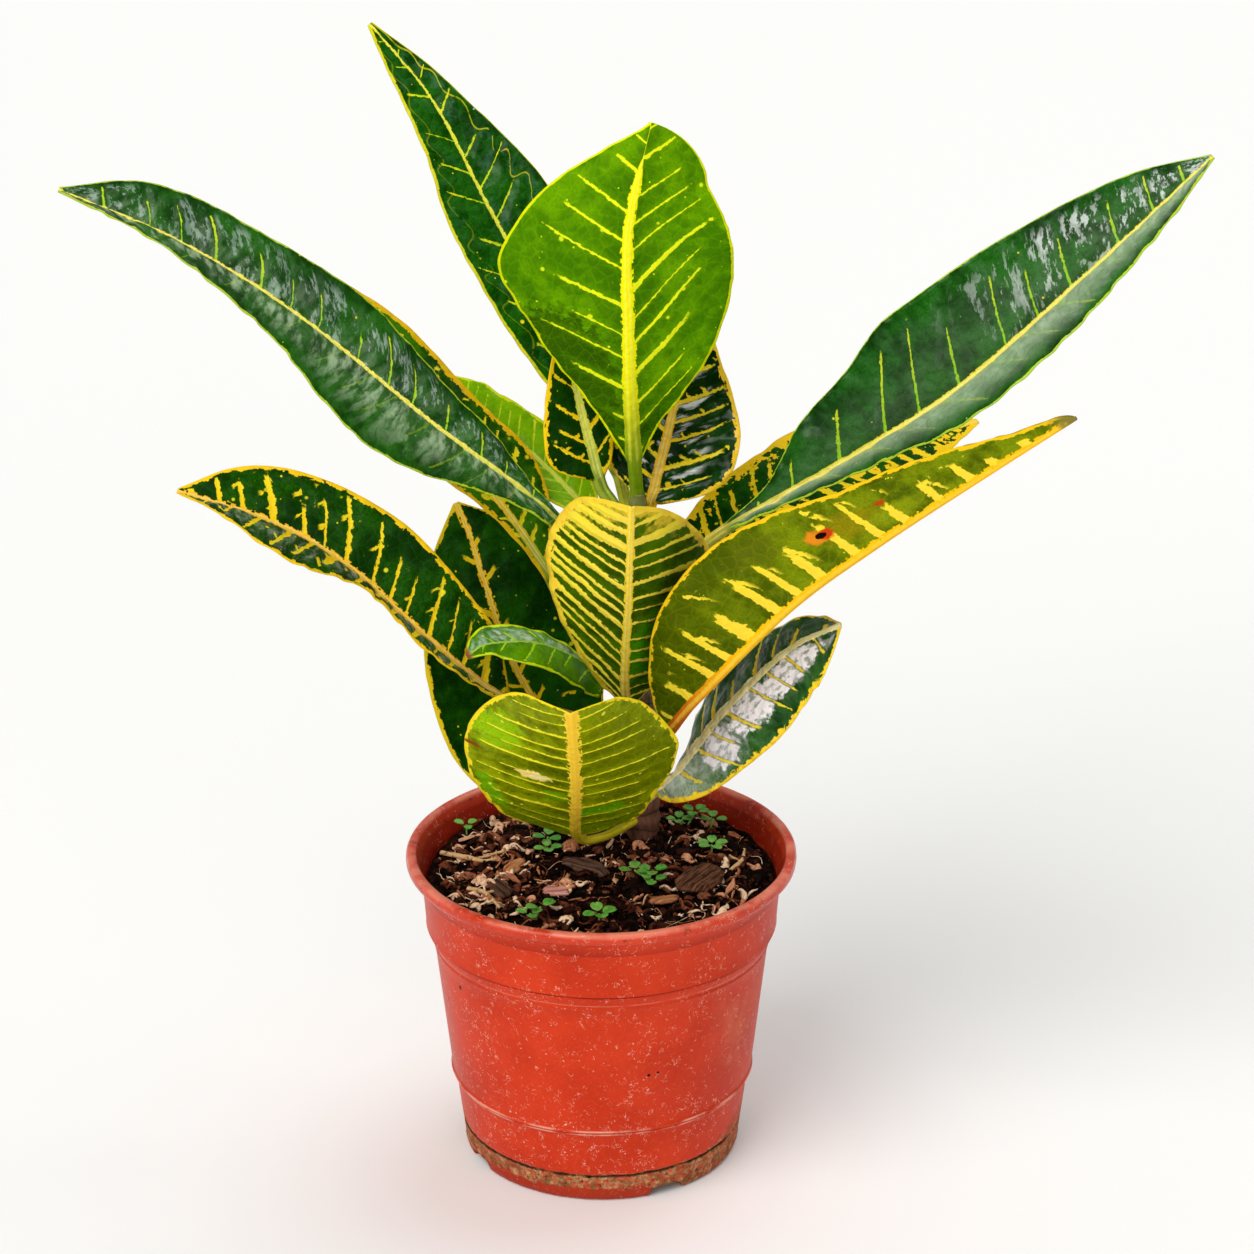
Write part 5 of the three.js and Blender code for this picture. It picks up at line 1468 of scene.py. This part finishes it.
# Weed seedlings: root is the place on the soil; heads give each one's offset, height, count of leaflets,
# their length and turn.
seedlings = dict(
    seedling_front=dict(root=(-0.5, -40), heads=[(0, 0, 3.6, 4, 6, 20)]),
    seedling_front_left=dict(root=(-21, -37), heads=[(1.5, 1, 4.6, 2, 5.6, 30), (-2, -2, 3.2, 3, 5, 160)]),
    seedling_left=dict(root=(-19, 12), heads=[(1, 2, 4.6, 3, 5.6, 80), (1, -3, 3.2, 4, 4.8, 10)]),
    seedling_middle=dict(root=(2, 25), heads=[(0, 0, 4, 5, 4.6, 40)]),
    seedling_back=dict(root=(29, 31), heads=[(-3, -1, 4.2, 4, 4.6, 0), (3, 2, 5.2, 4, 5, 60)]),
    seedling_right=dict(root=(37, 11), heads=[(0, 0, 3.6, 5, 5.4, 12)]),
    seedling_back_right=dict(root=(37, 31), heads=[(1, 2, 3.8, 3, 4.8, 100)]),
    seedling_patch=dict(root=(15, -13), heads=[(-4, 1, 3.8, 3, 5.2, 90), (2, 1, 4.6, 3, 5.4, 150),
                                               (2, -4, 3.6, 3, 4.8, 20)]),
    seedling_far_left=dict(root=(-46, 30), heads=[(0, 0, 3.2, 3, 4.4, 45)]),
)
seedling = dict(depth=6, lift=0.28, rows=12, columns=9, thick=0.28, stalkRadii=(0.42, 0.3))


def seedlingFinish():
    bench = Bench("seedlingGreen", "#2f7a1c")
    place = bench.place()
    mottle = bench.noise(place, 500, 3, 1)
    veins = bench.noise(bench.stretch(place, (1, 1, 0.4)), 1500, 2, 5)
    bench.cover(bench.fade(mottle, 0.3, 0.7), "#66ad3a")
    bench.cover(bench.tone() * 0.6, "#9ac765")
    bench.cover(bench.fade(veins, 0.55, 0.7) * 0.3, "#a9d880")
    values = {"Roughness": 0.45 + mottle * 0.15, "Specular IOR Level": 0.25}
    return bench.surface(values, (veins, 0.3, 0.0002))


def leaflet(draw, length, lift, heading, foot):
    rows, columns = seedling["rows"], seedling["columns"]
    wide = length * draw.uniform(0.34, 0.41)
    top = []
    for i in range(rows + 1):
        s = i / rows
        half = wide * max(0.1, math.sin(math.pi * min(1, s ** 0.9 * 0.95 + 0.01)) ** 0.6)
        for j in range(columns + 1):
            v = 2 * j / columns - 1
            notch = 0.07 * length * math.exp(-(v * 2.6) ** 2) * ease((s - 0.7) / 0.3)
            reach = length * (0.24 + 0.8 * s) - notch
            cup = 0.16 * half * abs(v) - 0.12 * length * s * s * 1.2
            top.append(Vector((reach, half * v, lift * reach + cup)))
    spin = Matrix.Rotation(heading, 3, "Z")
    upper = [spin @ p + foot for p in top]
    lower = [p - Vector((0, 0, seedling["thick"])) for p in upper]
    grid, under, rim = sheetFaces(rows + 1, columns + 1)
    return upper + lower, flipped(grid + under + rim)


def buildSeedling(name, settings, finish):
    draw = random.Random(name)
    heap = Heap()
    x, y = settings["root"]
    ground = soilHeight(x, y)
    for dx, dy, height, count, length, turn in settings["heads"]:
        top = Vector((x + dx, y + dy, soilHeight(x + dx, y + dy) + height))
        stalk = [(x, y, ground - seedling["depth"]), (x, y, ground + 0.6), tuple(top)]
        foot, neck = seedling["stalkRadii"]
        corners, faces = tube(stalk, lambda t, turns: mix(foot, neck, t) + 0 * turns, 8, 14)
        heap.add(corners, faces, 0.7)
        for k in range(count):
            heading = math.radians(turn) + 2 * math.pi * k / count + draw.uniform(-0.12, 0.12)
            lift = seedling["lift"] * (1 if k % 2 else 0.6) + 0.1
            corners, faces = leaflet(draw, length * draw.uniform(0.88, 1), lift, heading, top)
            heap.add(corners, faces, draw.uniform(0, 0.5))
    settle(heap.piece(name + "_sprigs", finish), "seedling_green", name)


seedlingGreen = seedlingFinish()
for name, settings in seedlings.items():
    buildSeedling(name, settings, seedlingGreen)
print("seedlings made")

# Bark and wood chips: at is the middle on the soil; size is length, width, thickness; corners and
# seed give the same outline as the solid's.
chip = dict(corners=9, sectors=96, rings=16)
chips = dict(
    chip_large=dict(at=(33, -12), size=(27, 13, 2.2), turn=62, tip=5, roll=8, seed=3,
                    colors=("#26140c", "#86583f")),
    chip_orange_left=dict(at=(-28.5, 0), size=(15, 6, 1.4), turn=66, tip=7, roll=10, seed=5,
                          colors=("#9c5a35", "#e0a06c")),
    chip_pink=dict(at=(-15, -20), size=(10, 6, 1.6), turn=12, tip=3, roll=5, seed=8,
                   colors=("#a05c50", "#f0b4a6")),
    chip_orange_front=dict(at=(21, -27), size=(11, 6, 1.4), turn=30, tip=4, roll=-6, seed=13,
                           colors=("#7d472b", "#c98a5c")),
    chip_brown_middle=dict(at=(-5, -3), size=(17, 9, 2), turn=-24, tip=4, roll=6, seed=21,
                           colors=("#32211a", "#745344")),
    chip_brown_left=dict(at=(-33, -18), size=(14, 8, 1.8), turn=118, tip=3, roll=-5, seed=34,
                         colors=("#2d1c15", "#6d4d3c")),
)


# The same repeatable draw as the solids use, so that the outlines agree.
def outlineDraw(seed):
    state = seed * 2654435761 % 4294967296
    while True:
        state = (state * 1664525 + 1013904223) % 4294967296
        yield state / 4294967296


def chipFinish(name, dark, light):
    bench = Bench(name, dark)
    grainPlace = bench.uv("grain")
    gx, gy, _ = bench.parts(grainPlace)
    fibres = bench.noise(bench.join(gx * 0.1, gy * 1.2), 1.0, 4, 2, 0.65)
    patches = bench.noise(grainPlace, 0.35, 3, 6)
    bench.cover(bench.fade(fibres, 0.35, 0.68), light)
    bench.cover(bench.fade(patches, 0.52, 0.7) * 0.45, dark)
    bench.cover(bench.fade(fibres, 0.34, 0.26) * 0.7, "#120a07")
    values = {"Roughness": 0.62 + patches * 0.2, "Specular IOR Level": 0.05}
    return bench.surface(values, (fibres, 0.8, 0.0005))


# The chip's edge on each ray from its middle, splintered at the ends.
def chipOutline(settings):
    length, width, _ = settings["size"]
    draw = outlineDraw(settings["seed"])
    ends = []
    for m in range(chip["corners"]):
        a = 2 * math.pi * m / chip["corners"]
        reach = 0.82 + 0.3 * next(draw)
        ends.append(Vector((0.5 * length * reach * math.cos(a), 0.5 * width * reach * math.sin(a))))
    outline = []
    for k in range(chip["sectors"]):
        place = k / chip["sectors"] * chip["corners"]
        n = int(place)
        edge = ends[n % chip["corners"]].lerp(ends[(n + 1) % chip["corners"]], place - n)
        torn = bumpAt(edge.y * 1.6, settings["seed"], 0)
        outline.append((edge, 1 - 0.1 * max(0, torn) * abs(edge.x) / length))
    return outline


def buildChip(name, settings):
    length, width, thick = settings["size"]
    sectors, rings = chip["sectors"], chip["rings"]
    outline = chipOutline(settings)
    shift = Vector((settings["seed"] * 3.7, 0, 0))
    points = []
    for layer in (1, 0):
        for i in range(rings + 1):
            for edge, splinter in outline:
                x, y = edge * (i / rings) * splinter
                ridge = noise.noise(Vector((x * 0.12, y * 1.3, 0)) + shift)
                ridge += 0.5 * noise.noise(Vector((x * 0.3, y * 3.2, 4)) + shift)
                bow = 0.25 * thick * (1 - (2 * y / width) ** 2)
                lip = 1 - 0.5 * ease((i / rings - 0.8) / 0.2)
                z = (thick * (0.72 + 0.24 * ridge) + bow) * lip if layer else 0.12 * ridge
                points.append((x, y, z))
    turn = tilted(*(math.radians(settings[key]) for key in ("turn", "tip", "roll")))
    x, y = settings["at"]
    seat = Vector((x, y, soilHeight(x, y) + 0.5))
    placed = [turn @ Vector(p) + seat for p in points]
    under = (rings + 1) * sectors
    faces = []
    for i in range(rings):
        for k in range(sectors):
            a, b = i * sectors + k, i * sectors + (k + 1) % sectors
            upper = (a, a + sectors, b + sectors, b)
            faces += [upper if i else upper[:3]]
            faces += flipped([tuple(under + corner for corner in faces[-1])])
    for k in range(sectors):
        a, b = rings * sectors + k, rings * sectors + (k + 1) % sectors
        faces.append((a, under + a, under + b, b))
    finish = chipFinish(name + "_bark", *settings["colors"])
    piece = addMesh(name + "_flake", np.array(placed) * mm, faces, [finish])
    addUv(piece, "grain", [p[:2] for p in points])
    bm = bmesh.new()
    bm.from_mesh(piece.data)
    bmesh.ops.remove_doubles(bm, verts=bm.verts, dist=0.01 * mm)
    bmesh.ops.recalc_face_normals(bm, faces=bm.faces)
    bm.to_mesh(piece.data)
    bm.free()
    settle(piece, "bark_chip", name)


for name, settings in chips.items():
    buildChip(name, settings)
print("chips made")

# Twigs and dead roots: places on the soil with the height above it; forks start part of the way along.
twigs = dict(
    twig_left=dict(points=[(-54, 11, 1.6), (-49, 8, 1.4), (-43, 4, 1.6), (-39, 3, 1.2), (-35, 4, 1.3)],
                   radius=0.8,
                   forks=[[(-42.5, 4.2, 1.6), (-39, 6.5, 1.8), (-35, 9, 1.4), (-31, 9.5, 1.2)]]),
    twig_front_left=dict(points=[(-44, -16, 1.3), (-38, -21, 1.5), (-33, -30, 1.3)], radius=0.7,
                         forks=[[(-38, -21, 1.5), (-34, -20, 1.9), (-30, -22, 1.4)]]),
    twig_right=dict(points=[(43, -4, 1.3), (47, 4, 1.5), (48, 13, 1.2)], radius=0.65,
                    forks=[[(46.5, 3, 1.4), (44, 7, 1.6), (43, 10, 1.2)]]),
)


def buildTwig(name, settings, finish):
    draw = random.Random(name)
    heap = Heap()
    for number, route in enumerate([settings["points"], *settings["forks"]]):
        thick = settings["radius"] * (0.6 if number else 1)
        shift = draw.uniform(0, 60)

        def radius(t, turns):
            knots = np.array([bumpAt(math.cos(a), math.sin(a), t * 9 + shift) for a in turns])
            return thick * (0.75 + 0.35 * math.sin(math.pi * min(1, t + 0.15)) + 0.3 * knots)

        points = [(x, y, soilHeight(x, y) + above) for x, y, above in route]
        corners, faces = tube(points, radius, 14, 60)
        heap.add(corners, faces, 0.75 + 0.2 * draw.random())
    settle(heap.piece(name + "_wood", finish), "twig", name)


twigFinish = debrisFinish("dryTwig", ("#3b2416", "#7a5232", "#b3814f", "#c99a66", "#dbb584"), 0.6)
for name, settings in twigs.items():
    buildTwig(name, settings, twigFinish)
print("twigs made")

bpy.context.view_layer.update()
